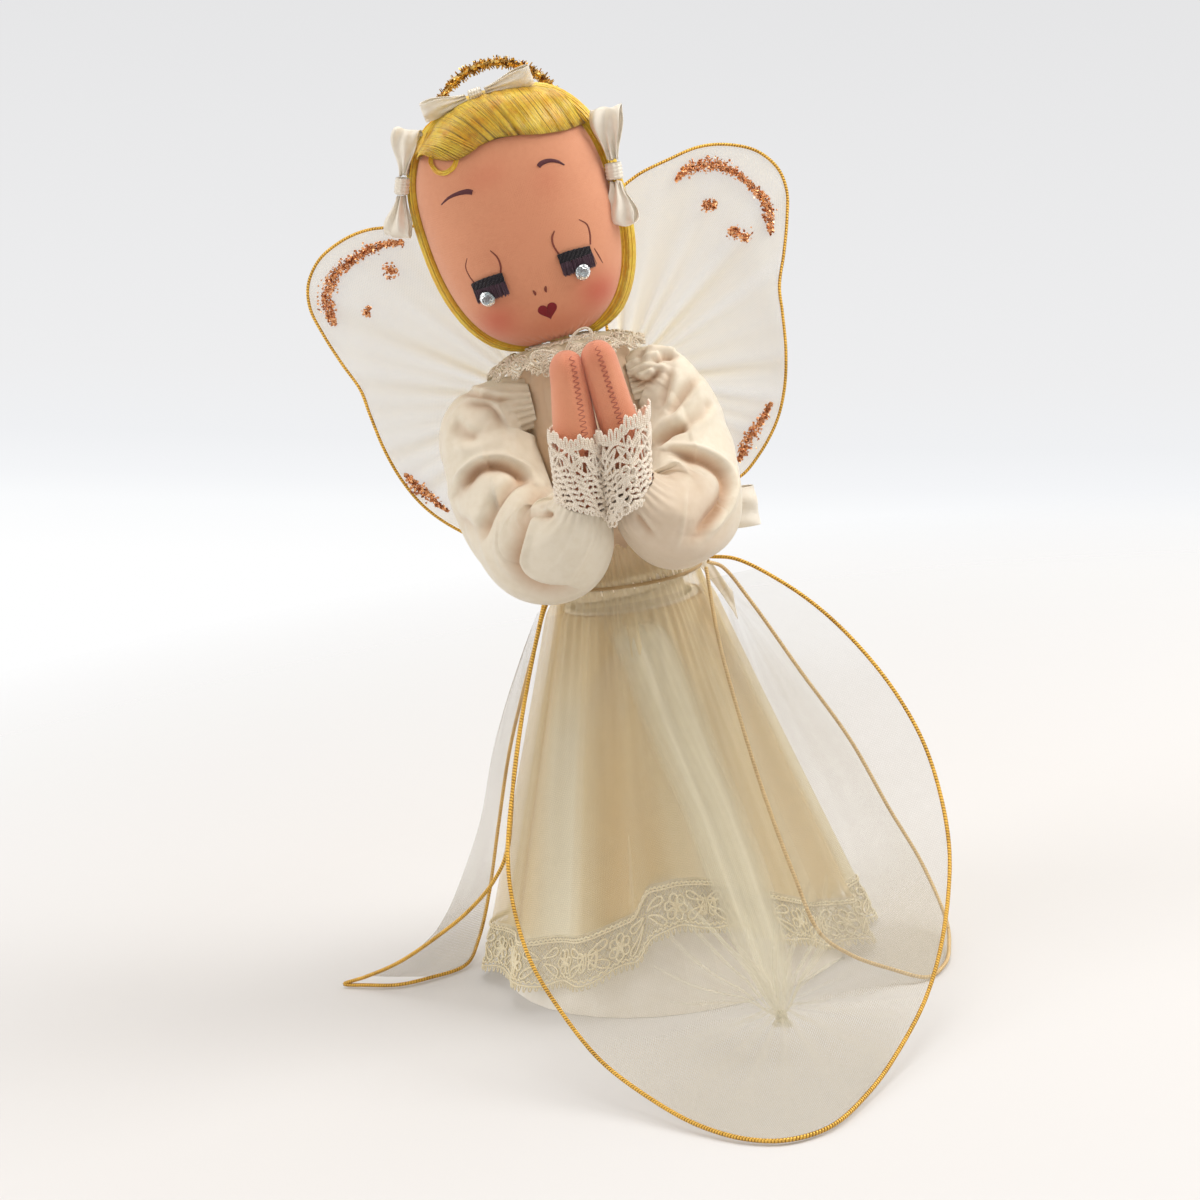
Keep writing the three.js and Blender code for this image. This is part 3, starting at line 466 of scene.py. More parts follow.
def threadMaterial(name, base, shade, roughness=0.8, pitch=0.5, sheen=0.3, depth=0.05):
    material, tree, shader, clothMap, place = newMaterial(name, roughness, Sheen_Weight=sheen, Sheen_Roughness=0.4,
                                                          Specular_IOR_Level=0.3)
    ridge = useGroup(tree, "winding", Vector=clothMap, Pitch=pitch)["Ridge"]
    tone = useGroup(tree, "mottle", Vector=place, Scale=200.0)["Tone"]
    share = calc(tree, "ADD", calc(tree, "SUBTRACT", 1.0, ridge), tone, clamp=True)
    tree.links.new(blendColour(tree, calc(tree, "MULTIPLY", share, 0.8), base, shade), shader.inputs["Base Color"])
    tree.links.new(remap(tree, ridge, 0.0, 1.0, roughness + 0.1, roughness - 0.1), shader.inputs["Roughness"])
    bumped(tree, shader, ridge, depth)
    return material


# Metal thread wound on wire: bright ridges, dark grooves, a little dulling where it is handled.
def goldMaterial(name, bright, dark, pitch=0.72, roughness=0.36, metal=0.85):
    material, tree, shader, clothMap, place = newMaterial(name, roughness, Metallic=metal)
    ridge = useGroup(tree, "winding", Vector=clothMap, Pitch=pitch)["Ridge"]
    tone = useGroup(tree, "mottle", Vector=place, Scale=120.0)["Tone"]
    share = calc(tree, "ADD", calc(tree, "POWER", calc(tree, "SUBTRACT", 1.0, ridge), 1.5),
                 calc(tree, "MULTIPLY", tone, 1.2), clamp=True)
    tree.links.new(blendColour(tree, share, bright, dark), shader.inputs["Base Color"])
    tree.links.new(remap(tree, tone, -0.3, 0.3, roughness + 0.14, roughness - 0.1), shader.inputs["Roughness"])
    bumped(tree, shader, ridge, 0.12)
    return material


# Small metal flakes: each piece of the surface has its own tone and gloss.
def flakeMaterial(name, bright, dark, scale=900.0, roughness=0.25, metal=0.9):
    material, tree, shader, clothMap, place = newMaterial(name, roughness, Metallic=metal)
    flakes = useGroup(tree, "flakes", Vector=place, Scale=scale)
    tree.links.new(blendColour(tree, flakes["Tone"], bright, dark), shader.inputs["Base Color"])
    tree.links.new(remap(tree, flakes["Tone"], 0.0, 1.0, roughness - 0.1, roughness + 0.2), shader.inputs["Roughness"])
    bumped(tree, shader, flakes["Edge"], 0.15)
    return material


# Combed floss: streaks of light and dark along the strand, with shade in the grooves.
def flossMaterial(name, light, base, dark):
    material, tree, shader, clothMap, place = newMaterial(name, 0.36, Specular_IOR_Level=0.7, Sheen_Weight=0.1,
                                                          Anisotropic=0.6)
    streak = useGroup(tree, "streaks", Vector=clothMap, Along=0.12, Across=5.0)["Tone"]
    tone = useGroup(tree, "mottle", Vector=place, Scale=260.0, Fine=5.0)["Tone"]
    share = calc(tree, "ADD", calc(tree, "MULTIPLY", tone, 2.2), calc(tree, "SUBTRACT", streak, 0.15), clamp=True)
    body = blendColour(tree, share, light, base)
    tree.links.new(blendColour(tree, markValue(tree, "groove"), body, dark), shader.inputs["Base Color"])
    tree.links.new(remap(tree, streak, 0.3, 0.7, 0.28, 0.46), shader.inputs["Roughness"])
    bumped(tree, shader, streak, 0.08)
    return material


# Stretched stockinette: fine knit columns, blush and painted shade by a mark, and a soft fuzz.
def skinMaterial(name, base, shade, blush, depth=0.03):
    material, tree, shader, clothMap, place = newMaterial(name, 0.72, Sheen_Weight=0.35, Sheen_Roughness=0.5,
                                                          Specular_IOR_Level=0.3)
    weave = useGroup(tree, "weave", Vector=clothMap, Threads=2.6)
    tone = useGroup(tree, "mottle", Vector=place, Scale=45.0, Fine=20.0)["Tone"]
    share = calc(tree, "ADD", calc(tree, "MULTIPLY", tone, 1.5), calc(tree, "MULTIPLY", weave["Height"], 0.2), clamp=True)
    body = blendColour(tree, calc(tree, "MULTIPLY", share, 0.6), base, shade)
    tree.links.new(blendColour(tree, markValue(tree, "blush"), body, blush), shader.inputs["Base Color"])
    tree.links.new(remap(tree, weave["Height"], 0.0, 1.0, 0.8, 0.66), shader.inputs["Roughness"])
    bumped(tree, shader, weave["Height"], depth)
    return material


def cardMaterial():
    material, tree, shader, clothMap, place = newMaterial("card", 0.9, Specular_IOR_Level=0.2)
    fibres = useGroup(tree, "mottle", Vector=place, Scale=180.0, Fine=12.0)["Tone"]
    tree.links.new(blendColour(tree, calc(tree, "ADD", fibres, 0.3, clamp=True), srgb(255, 253, 248), srgb(244, 238, 226)),
                   shader.inputs["Base Color"])
    tree.links.new(remap(tree, fibres, -0.3, 0.3, 0.95, 0.8), shader.inputs["Roughness"])
    bumped(tree, shader, fibres, 0.08)
    return material


def woodMaterial():
    material, tree, shader, clothMap, place = newMaterial("peg_wood", 0.65, Specular_IOR_Level=0.3)
    grain = useGroup(tree, "streaks", Vector=newNode(tree, "ShaderNodeMapping", {0: place, 2: (0, np.pi / 2, 0)}).outputs[0],
                     Along=60.0, Across=900.0)["Tone"]
    tree.links.new(blendColour(tree, remap(tree, grain, 0.3, 0.7, 0.0, 1.0), srgb(222, 194, 142), srgb(168, 128, 78)),
                   shader.inputs["Base Color"])
    tree.links.new(remap(tree, grain, 0.0, 1.0, 0.55, 0.75), shader.inputs["Roughness"])
    bumped(tree, shader, grain, 0.06)
    return material


def glassMaterial():
    material, tree, shader, clothMap, place = newMaterial("stone_glass", 0.02, Transmission_Weight=0.85, IOR=1.6,
                                                          Specular_IOR_Level=0.8, Coat_Weight=0.5, Coat_Roughness=0.02)
    tone = useGroup(tree, "mottle", Vector=place, Scale=900.0)["Tone"]
    tree.links.new(blendColour(tree, calc(tree, "ADD", tone, 0.3, clamp=True), srgb(250, 253, 255), srgb(196, 216, 222)),
                   shader.inputs["Base Color"])
    tree.links.new(remap(tree, tone, -0.3, 0.3, 0.01, 0.06), shader.inputs["Roughness"])
    return material


materials = {
    "card": cardMaterial(),
    "wood": woodMaterial(),
    # the lining's waist mark is painted brown shade under the sleeves, towards the waist
    "lining": clothMaterial("lining", srgb(255, 228, 176), srgb(238, 200, 142), threads=2.2, roughness=0.75, mark="waist",
                            markColour=srgb(166, 116, 68)),
    "stuffing": clothMaterial("stuffing", srgb(238, 228, 210), srgb(206, 190, 164), threads=1.6, roughness=0.9),
    "laceThread": threadMaterial("lace_thread", srgb(236, 226, 208), srgb(194, 176, 150)),
    "cuffThread": threadMaterial("cuff_thread", srgb(254, 246, 234), srgb(222, 204, 180)),
    "hemThread": threadMaterial("hem_thread", srgb(255, 248, 222), srgb(250, 230, 188)),
    # the waist tie's thread is coloured brown as painted shade, to sit in the skirt's shaded top
    "tieThreadShade": threadMaterial("tie_thread_painted_shade", srgb(206, 180, 136), srgb(160, 132, 92)),
    # the satin's warm brown is painted shade for its folds
    "satin": satinMaterial("satin", srgb(240, 231, 213), srgb(222, 208, 182), paintedShade=srgb(188, 136, 88)),
    # the panel satin is a darker, pinker copy of the satin: partly skin showing through it, partly painted shade
    # between the arms
    "panel": satinMaterial("panel_satin_painted_shade", srgb(226, 200, 172), srgb(200, 168, 136), paintedShade=srgb(160, 108, 72)),
    "ribbon": satinMaterial("ribbon", srgb(250, 244, 232), srgb(228, 214, 192), roughness=0.36, toneDepth=0.55),
    "gold": goldMaterial("gold_wrap", srgb(232, 184, 84), srgb(128, 82, 22), metal=0.72),
    "paleGold": goldMaterial("pale_gold_wrap", srgb(226, 196, 142), srgb(186, 150, 100), metal=0.25),
    "tinsel": flakeMaterial("tinsel", srgb(255, 214, 122), srgb(104, 60, 26), scale=1300.0),
    "glitter": flakeMaterial("copper_glitter", srgb(248, 190, 138), srgb(168, 98, 62), scale=1500.0),
    "skin": skinMaterial("skin_stockinette", srgb(230, 160, 124), srgb(210, 132, 98), srgb(200, 78, 56)),
    "hand": skinMaterial("hand_stockinette", srgb(238, 160, 124), srgb(218, 130, 96), srgb(200, 96, 70), depth=0.06),
    "floss": flossMaterial("golden_floss", srgb(255, 222, 66), srgb(236, 170, 18), srgb(78, 38, 4)),
    "felt": clothMaterial("black_felt", srgb(20, 16, 24), srgb(42, 34, 46), threads=5.0, roughness=0.95, sheen=0.5),
    "fringe": threadMaterial("lash_fringe", srgb(88, 62, 78), srgb(44, 30, 42), roughness=0.6, pitch=0.3),
    "glass": glassMaterial(),
    "foil": flakeMaterial("stone_foil", srgb(190, 200, 200), srgb(64, 72, 76), scale=900.0, roughness=0.2),
    "lips": clothMaterial("lip_paint", srgb(134, 20, 34), srgb(96, 12, 22), threads=2.6, roughness=0.6, sheen=0.1),
    "brow": clothMaterial("brow_paint", srgb(92, 44, 50), srgb(62, 26, 34), threads=2.6, roughness=0.7, sheen=0.1),
    "lid": clothMaterial("lid_paint", srgb(132, 66, 52), srgb(104, 44, 36), threads=2.6, roughness=0.7, sheen=0.1),
    "stitch": threadMaterial("stitching", srgb(204, 120, 98), srgb(162, 84, 70), roughness=0.8, pitch=0.3),
    "tulle": sheerMaterial("skirt_tulle", srgb(255, 234, 186), srgb(255, 249, 224), 0.38, 0.88),
    "tail": sheerMaterial("gathered_nylon", srgb(236, 230, 202), srgb(246, 242, 220), 0.10, 0.86),
    # the petal nylon is greyed as painted shade, for the veil over the shaded floor
    "petal": sheerMaterial("petal_nylon_painted_shade", srgb(176, 166, 146), srgb(214, 206, 186), 0.14, 0.9),
    "wing": sheerMaterial("wing_nylon", srgb(254, 246, 226), srgb(254, 242, 206), 0.36, 0.84),
    "net": sheerMaterial("hem_net", srgb(255, 246, 218), srgb(255, 250, 230), 0.3, 0.7),
}
print("materials made:", len(materials))


# Stage: a white floor that fades into a pale ground. The ground is graded along the picture's upright axis:
# each stop is (rise of the direction along that axis, colour), white below and pale grey above.
stage = {"tilt": 1.2, "floor": srgb(217, 217, 219), "lift": 0.06, "fadeNear": 0.16, "fadeFar": 0.62, "half": 4.0, "room": 0.56,
         "stops": [(0.018, srgb(255, 255, 255)), (0.040, srgb(251, 252, 253)), (0.052, srgb(245, 246, 248)),
                   (0.070, srgb(240, 241, 243)), (0.10, srgb(238, 238, 239)), (0.20, srgb(233, 233, 234)),
                   (0.27, srgb(229, 229, 230))]}


# 1 for camera, glossy and transmission rays, 0 for the rays that light the piece.
def seenRays(tree):
    rays = newNode(tree, "ShaderNodeLightPath").outputs
    return calc(tree, "MAXIMUM", rays["Is Camera Ray"], calc(tree, "MAXIMUM", rays["Is Glossy Ray"], rays["Is Transmission Ray"]))


# The floor is lit white cloth paper plus a share of plain light, so its shadows stay; far off it lets the ground show.
def stageMaterial():
    material = bpy.data.materials.new("floor_white")
    material.use_nodes = True
    tree = material.node_tree
    tree.nodes.clear()
    place = newNode(tree, "ShaderNodeTexCoord").outputs["Object"]
    away = newNode(tree, "ShaderNodeVectorMath", {0: place}, operation="LENGTH").outputs["Value"]
    lit = newNode(tree, "ShaderNodeBsdfDiffuse", {"Color": stage["floor"]})
    plain = newNode(tree, "ShaderNodeEmission", {"Color": srgb(255, 254, 252),
                    "Strength": calc(tree, "MULTIPLY", seenRays(tree), stage["lift"])})
    near = newNode(tree, "ShaderNodeAddShader", {0: lit.outputs[0], 1: plain.outputs[0]})
    clear = newNode(tree, "ShaderNodeBsdfTransparent")
    share = calc(tree, "MULTIPLY", remap(tree, away, stage["fadeNear"], stage["fadeFar"], 0.0, 1.0), seenRays(tree))
    mixed = newNode(tree, "ShaderNodeMixShader", {0: share, 1: near.outputs[0], 2: clear.outputs[0]})
    newNode(tree, "ShaderNodeOutputMaterial", {0: mixed.outputs[0]})
    return material


def makeStage():
    half = stage["half"] / mm
    corners = np.array([[[-half, -half, -0.1], [half, -half, -0.1]], [[-half, half, -0.1], [half, half, -0.1]]])
    shape = gridShape(corners, np.zeros((2, 2, 2)))
    mesh = bpy.data.meshes.new("floor")
    mesh.from_pydata([tuple(p) for p in shape["points"] * mm], [], [tuple(int(k) for k in f) for f in shape["faces"][0]])
    mesh.materials.append(stageMaterial())
    floor = bpy.data.objects.new("floor", mesh)
    scene.collection.objects.link(floor)
    world = bpy.data.worlds.new("studio")
    world.use_nodes = True
    scene.world = world
    tree = world.node_tree
    tree.nodes.clear()
    turn = np.radians(stage["tilt"])
    axes = np.array(scene.camera.matrix_world)[:3, :3]
    upright = np.cos(turn) * axes[:, 1] + np.sin(turn) * axes[:, 0]
    direction = newNode(tree, "ShaderNodeTexCoord").outputs["Generated"]
    rise = newNode(tree, "ShaderNodeVectorMath", {0: direction, 1: tuple(float(v) for v in upright)},
                   operation="DOT_PRODUCT").outputs["Value"]
    low, high = stage["stops"][0][0], stage["stops"][-1][0]
    ramp = newNode(tree, "ShaderNodeValToRGB", {0: remap(tree, rise, low, high, 0.0, 1.0)})
    elements = ramp.color_ramp.elements
    while len(elements) < len(stage["stops"]):
        elements.new(0.5)
    for element, (at, value) in zip(elements, stage["stops"]):
        element.position, element.color = (at - low) / (high - low), value
    room = newNode(tree, "ShaderNodeBackground", {0: srgb(255, 245, 232), 1: stage["room"]})
    wall = newNode(tree, "ShaderNodeBackground", {0: ramp.outputs[0], 1: 1.0})
    both = newNode(tree, "ShaderNodeMixShader", {0: seenRays(tree), 1: room.outputs[0], 2: wall.outputs[0]})
    newNode(tree, "ShaderNodeOutputWorld", {0: both.outputs[0]})


# Each lamp: place, size and strength in watts; soft boxes on both sides, the right one stronger, and one above
lamps = {
    "right": {"place": (0.90, -0.14, 0.82), "size": 0.7, "power": 7.6, "colour": (1.0, 0.985, 0.955)},
    "left": {"place": (-0.95, -0.12, 0.60), "size": 0.8, "power": 3.6, "colour": (1.0, 0.99, 0.97)},
    "top": {"place": (0.10, 0.15, 1.15), "size": 0.8, "power": 4.6, "colour": (1.0, 0.99, 0.97)},
}


def makeLamps():
    aim = np.array([0.0, 0.0, 0.12])
    for name, lamp in lamps.items():
        data = bpy.data.lights.new(name, "AREA")
        data.shape, data.size, data.energy, data.color = "DISK", lamp["size"], lamp["power"], lamp["colour"]
        place = np.array(lamp["place"])
        backward = unit(place - aim)
        right = unit(np.cross((0.0, 0.0, 1.0), backward))
        matrix = np.eye(4)
        matrix[:3, 0], matrix[:3, 1], matrix[:3, 2], matrix[:3, 3] = right, np.cross(backward, right), backward, place
        made = bpy.data.objects.new(name, data)
        made.matrix_world = Matrix(matrix.tolist())
        scene.collection.objects.link(made)


makeStage()
makeLamps()
print("stage and lamps made")


# Cone, lining, skirt and hem
cone = {"rimRadius": 46.0, "topRadius": 17.0, "height": 95.0}
skirt = {"folds": 12, "hemFold": 5.2, "waistFold": 2.2, "laceHeight": 12.3, "top": 95.5, "gatherTop": 111.0,
         "gather": [(93, 19.6), (97, 18.9), (101.5, 18.45), (104, 18.2), (106, 17.0), (111, 14.9)]}
hem = {"scallops": 18, "heights": [(-180, 2.6), (-150, 4.4), (-128, 7.0), (-112, 10.4), (-104, 12.4), (-99, 19.4), (-90, 20.2),
                                   (-71, 16.8), (-58, 12.0), (-40, 5.0), (-24, 1.6), (0, 0.8), (90, 0.8), (150, 1.0), (180, 2.6)]}
hemTable = np.interp(np.arange(-240, 240), *np.array(
    [(a + turn, h) for turn in (-360, 0, 360) for a, h in hem["heights"][:-1]]).T)
hemTable = np.convolve(hemTable, np.hanning(9) / np.hanning(9).sum(), mode="same")


def coneRadius(z):
    return lerp(cone["rimRadius"], cone["topRadius"], z / cone["height"])


# Height of the hem, from the smoothed table of (degrees, height): on the ground behind, lifted at the front.
def hemHeight(angle):
    return np.interp(np.degrees(np.angle(np.exp(1j * np.asarray(angle)))), np.arange(-240, 240), hemTable)


# Radius of the folded skirt: the cone's, a lining's gap, broad folds cos(12 a + sin 3a) that grow to the hem,
# and fine gathers that fade away below the waist.
def skirtRadius(z, angle):
    share = np.clip(z / cone["height"], 0, 1)
    depth = lerp(skirt["hemFold"], skirt["waistFold"], share)
    wave = 0.5 + 0.5 * np.cos(skirt["folds"] * angle + np.sin(3 * angle) + 0.5 * np.sin(2 * angle + 2.2 * share))
    soft = wave ** 1.3 * (1 - 0.35 * (0.5 + 0.5 * np.sin(5 * angle + 1)))
    gathers = 0.4 * share**5 * np.cos(62 * angle + 2 * np.sin(7 * angle)) + 0.05 * np.cos(31 * angle + 3 * np.sin(4 * angle))
    loose = coneRadius(z) + 2.3 + depth * soft + gathers
    gathered = np.interp(z, *np.array(skirt["gather"]).T) + 0.35 * np.cos(62 * angle + 2 * np.sin(7 * angle))
    return lerp(loose, gathered, smoothStep(93.0, 99.5, z))


# A sheet round the cone: rows from bottomOf(a) to topOf(a), radius from radiusOf(z, a).
def roundSheet(rows, columns, bottomOf, topOf, radiusOf, marks=None):
    angle = (np.arange(columns) / columns * fullTurn)[None]
    share = (np.arange(rows) / (rows - 1))[:, None]
    z = lerp(bottomOf(angle), topOf(angle), share) + 0 * angle
    radius = radiusOf(z, angle)
    points = np.stack([radius * np.cos(angle), radius * np.sin(angle), z], axis=-1)
    wide = np.arange(columns + 1) / columns
    uvGrid = np.stack([np.broadcast_to(wide * 300.0, (rows, columns + 1)), np.broadcast_to(share * 85.0, (rows, columns + 1))], -1)
    given = {key: np.broadcast_to(value(z, angle), z.shape) for key, value in (marks or {}).items()}
    return gridShape(points, uvGrid, wrapColumns=True, marks=given)


def makeSkirt():
    core = bpy.data.objects["cone_core"] if "cone_core" in bpy.data.objects else None
    if core:
        core.data.materials.clear()
        core.data.materials.append(materials["card"])
    bottom = lambda a: hemHeight(a) + skirt["laceHeight"]
    # painted shade: the waist mark darkens the lining towards the waist, under the sleeves
    lining = roundSheet(34, 300, bottom, lambda a: 94.6 + 0 * a,
                        lambda z, a: coneRadius(z) + 0.75 + 0.2 * np.sin(13 * a + 2 * np.sin(5 * a)) * (1 - z / 110),
                        {"waist": lambda z, a: 0.95 * smoothStep(58, 97, z)})
    made = piece("skirt_lining", lining, materials["lining"], "doll", ["underskirt"], thickness=0.25)
    # folds where the tulle lies double look pale and dense, the rest shows the lining through; towards the waist the
    # tulle thins as painted shade, showing more of the darker lining
    dense = lambda z, a: np.clip(0.42 + 0.38 * np.sin(5 * a + 0.8) + 0.26 * np.cos(9 * a + 0.02 * z + 1.7 * np.sin(2 * a))
                                 + 0.04 * np.cos(40 * a + 3 * np.sin(6 * a)), 0, 1) * (1 - 0.8 * smoothStep(60, 100, z))
    tulle = roundSheet(72, 600, bottom, lambda a: skirt["gatherTop"] + 0.6 * np.sin(31 * a) + 0 * a, skirtRadius, {"pleat": dense})
    lean = np.maximum(tulle["points"][:, 2] - pose["waist"], 0) * np.tan(np.radians(pose["lean"]))
    tulle["points"][:, 0] -= lean
    made = piece("tulle_skirt_outer", tulle, materials["tulle"], "doll", ["tulle_skirt"])
    inner = roundSheet(32, 480, bottom, lambda a: skirt["top"] - 1 + 0 * a,
                       lambda z, a: coneRadius(z) + 1.45 + 0.35 * lerp(skirt["hemFold"], 1.2, z / 95) * (
                           0.5 + 0.5 * np.cos(17 * a + 1.5 * np.sin(4 * a))),
                       {"pleat": lambda z, a: 0.3 + 0.14 * np.cos(17 * a + 1.5 * np.sin(4 * a))})
    made = piece("tulle_skirt_inner", inner, materials["tulle"], "doll")


# Lace drawn flat in mm (x along the band, h up), then laid on the hem:
# (x, h) -> angle = x / bandRadius, z = hem height + h, radius = the skirt's.
lace = {"bandRadius": 50.0, "thread": 0.26, "fine": 0.11, "cord": 0.36}


def onHem(x, h, out=0.35):
    angle = x / lace["bandRadius"]
    z = hemHeight(angle) + h
    radius = skirtRadius(z, angle) + out
    points = np.stack([radius * np.cos(angle), radius * np.sin(angle), z], axis=-1)
    normal = np.stack([np.cos(angle), np.sin(angle), 0.5 + 0 * angle], axis=-1)
    return points, unit(normal)


# One motif: a flower of round petals, two leaves each side and a scroll; each line is a list of (x, h) arrays.
def flowerLoops(centreX, centreH, size, petals=5, steps=18, turn=0.0):
    t = np.arange(steps) / steps * fullTurn
    loops = []
    for k in range(petals):
        a = k / petals * fullTurn + turn
        reach = size * (0.62 + 0.42 * np.cos(t))
        side = size * 0.36 * np.sin(t)
        loops.append(np.stack([centreX + reach * np.cos(a) - side * np.sin(a), centreH + reach * np.sin(a) + side * np.cos(a)], -1))
    return loops


def leafLoop(baseX, baseH, length, width, turn, steps=18):
    t = np.arange(steps) / steps * fullTurn
    reach, side = length * (0.5 - 0.5 * np.cos(t)), width * np.sin(t) * (0.6 + 0.4 * np.cos(t))
    c, s = np.cos(turn), np.sin(turn)
    return np.stack([baseX + reach * c - side * s, baseH + reach * s + side * c], -1)


def makeHemLace():
    period = fullTurn * lace["bandRadius"] / hem["scallops"]
    loops, fineLoops = [], []
    for k in range(hem["scallops"]):
        x = (k + 0.5) * period
        flip = 1 if k % 2 else -1
        loops += flowerLoops(x, 6.6, 3.0, petals=6, turn=0.3 * k)
        loops += flowerLoops(x, 6.6, 1.1, petals=4, turn=0.5)
        for turn, px, ph, length in ((0.5, 3.0, 3.6, 5.6), (2.64, -3.0, 3.6, 5.6), (-0.35, 3.4, 9.4, 5.0), (3.49, -3.4, 9.4, 5.0),
                                     (1.2, flip * 7.4, 4.2, 4.4), (-1.4, flip * 7.2, 8.6, 4.4)):
            loops.append(leafLoop(x + px, ph, length, 1.3, turn))
        for j in range(11):
            px = x + (j - 5) * period / 11
            low = 1.2 * (0.5 - 0.5 * np.cos(hem["scallops"] * px / lace["bandRadius"]))
            fineLoops.append(leafLoop(px, low + 0.9, 1.5, 0.55, -np.pi / 2))
    loops = np.array(loops)
    points, normals = onHem(loops[..., 0], np.clip(loops[..., 1], 0.9, 12.0))
    motifs = threadShape(points, normals, lace["thread"], sides=4, closed=True)
    loops = np.array(fineLoops)
    points, normals = onHem(loops[..., 0], np.maximum(loops[..., 1], 0.05))
    picots = threadShape(points, normals, lace["thread"] * 0.8, sides=3, closed=True)
    # long lines round the band: borders, and a ground of zigzags
    x = (np.arange(1080) / 1080 * fullTurn * lace["bandRadius"])[None]
    scallop = 1.2 * (0.5 - 0.5 * np.cos(hem["scallops"] * x / lace["bandRadius"]))
    borders = np.concatenate([scallop + 1.0, scallop + 1.9 + 0.25 * np.sin(fullTurn * x / 1.6), 11.3 + 0 * x,
                              11.9 + 0.2 * np.sin(fullTurn * x / 1.3)])
    points, normals = onHem(np.broadcast_to(x, borders.shape), borders)
    edges = threadShape(points, normals, lace["thread"], sides=4, closed=True)
    rows = np.arange(9)[:, None]
    ground = 2.4 + rows * 1.05 + 0.5 * np.sin(fullTurn * x / 2.1 + np.pi * rows)
    points, normals = onHem(np.broadcast_to(x, ground.shape), ground, 0.1)
    mesh = threadShape(points, normals, lace["fine"], sides=3, closed=True)
    threads = piece("hem_lace_threads", joinShapes(motifs, picots, edges), materials["hemThread"], "doll", ["hem_lace"])
    ground = piece("hem_lace_ground", mesh, materials["hemThread"], "doll")
    net = roundSheet(14, 720, lambda a: hemHeight(a) + 2.4, lambda a: hemHeight(a) + skirt["laceHeight"] + 0.6,
                     lambda z, a: skirtRadius(z, a) + 0.05,
                     {"pleat": lambda z, a: 0.25 + 0.25 * np.cos(18 * a + 3)})
    band = piece("hem_lace_net", net, materials["net"], "doll")


makeSkirt()
makeHemLace()
print("skirt and hem lace made")


# Wires wound with metal thread: radius r (1 + d |sin(pi (s / pitch + around))|) along the path
winding = {"pitch": 0.72, "perTurn": 4, "depth": 0.1, "sides": 8}


def woundWire(points, radius):
    path = pathThrough(points)
    length = path[1][-1]
    steps = int(length / winding["pitch"] * winding["perTurn"])
    line = along(path, np.linspace(0, 1, steps))
    tangents = unit(np.gradient(line, axis=0))
    n = np.cross(tangents, (0.31, 0.52, 0.8))
    bad = np.linalg.norm(n, axis=-1, keepdims=True) < 0.05
    n = unit(np.where(bad, np.cross(tangents, (1.0, 0.0, 0.0)), n))
    b = np.cross(tangents, n)
    s = np.linspace(0, length, steps)[:, None]
    around = (np.arange(winding["sides"]) / winding["sides"])[None]
    ridge = np.abs(np.sin(np.pi * (s / winding["pitch"] + around)))
    r = radius * (1 - winding["depth"] + winding["depth"] * ridge)
    ringPoints = line[:, None] + r[..., None] * (np.cos(fullTurn * around)[..., None] * n[:, None]
                                                 + np.sin(fullTurn * around)[..., None] * b[:, None])
    wide = np.arange(winding["sides"] + 1) / winding["sides"]
    uvGrid = np.stack([np.broadcast_to(s, (steps, len(wide))), np.broadcast_to(wide, (steps, len(wide)))], -1)
    return gridShape(ringPoints, uvGrid, wrapColumns=True, capEnds=True, outward=True)


# Net inside a wired loop: rungs join path(share) to path(1 - share), pulled in by the inset, bulged by
# sin(pi v) sin(2 pi share) along an axis, and passed through settle.
def netInside(points, inset, bulge, axis, rungs, columns, settle, tip=0.0, first=0.033):
    path = pathThrough(points)
    shares = np.linspace(first, (1 - tip / 15) * 0.5, rungs)
    evenly = along(path, np.linspace(0, 1, 31))
    middle = evenly.mean(axis=0)

    def edge(at):
        p = along(path, at)
        run = unit(along(path, at + 0.002) - along(path, at - 0.002))
        inward = middle - p
        inward = unit(inward - (inward * run).sum(-1, keepdims=True) * run)
        return p + inset * inward

    a, b = edge(shares), edge(1 - shares)
    v = np.linspace(0, 1, columns)[None, :, None]
    lift = bulge * np.sin(np.pi * v) * np.sin(fullTurn * shares)[:, None, None]
    surface = lerp(a[:, None], b[:, None], v) + lift * np.asarray(axis, float)
    return settle(surface)


def netShape(surface, pleat):
    rows, columns = surface.shape[:2]
    across = np.linalg.norm(np.diff(surface, axis=1), axis=-1)
    u = np.concatenate([np.zeros((rows, 1)), np.cumsum(across, axis=1)], axis=1)
    u = u - u[:, columns // 2:columns // 2 + 1]
    down = np.linalg.norm(np.diff(surface[:, columns // 2], axis=0), axis=-1)
    v = np.concatenate([[0], np.cumsum(down)])[:, None] + 0 * u
    return gridShape(surface, np.stack([u, v], -1), marks={"pleat": np.clip(pleat, 0, 1)})


def surfaceNormals(surface):
    return unit(np.cross(np.gradient(surface, axis=0), np.gradient(surface, axis=1)))


wing = {"radius": 0.44, "inset": 1.0, "bulge": 1.0, "span": 64.0, "height": 102.0, "rootSide": 9.6, "rootDepth": 18.0,
        "rootUp": 48.0, "sweep": 0.14, "rake": 0.14}
wingShares = [(0.15, 0.49), (0.16, 0.63), (0.2, 0.8), (0.29, 0.92), (0.41, 0.966), (0.56, 0.988), (0.69, 1), (0.8, 0.99),
              (0.916, 0.956), (0.984, 0.902), (1, 0.843), (0.973, 0.77), (0.928, 0.689), (0.88, 0.614), (0.866, 0.546),
              (0.844, 0.451), (0.805, 0.357), (0.745, 0.279), (0.648, 0.208), (0.544, 0.161), (0.42, 0.16), (0.29, 0.24),
              (0.2, 0.36), (0.155, 0.45)]
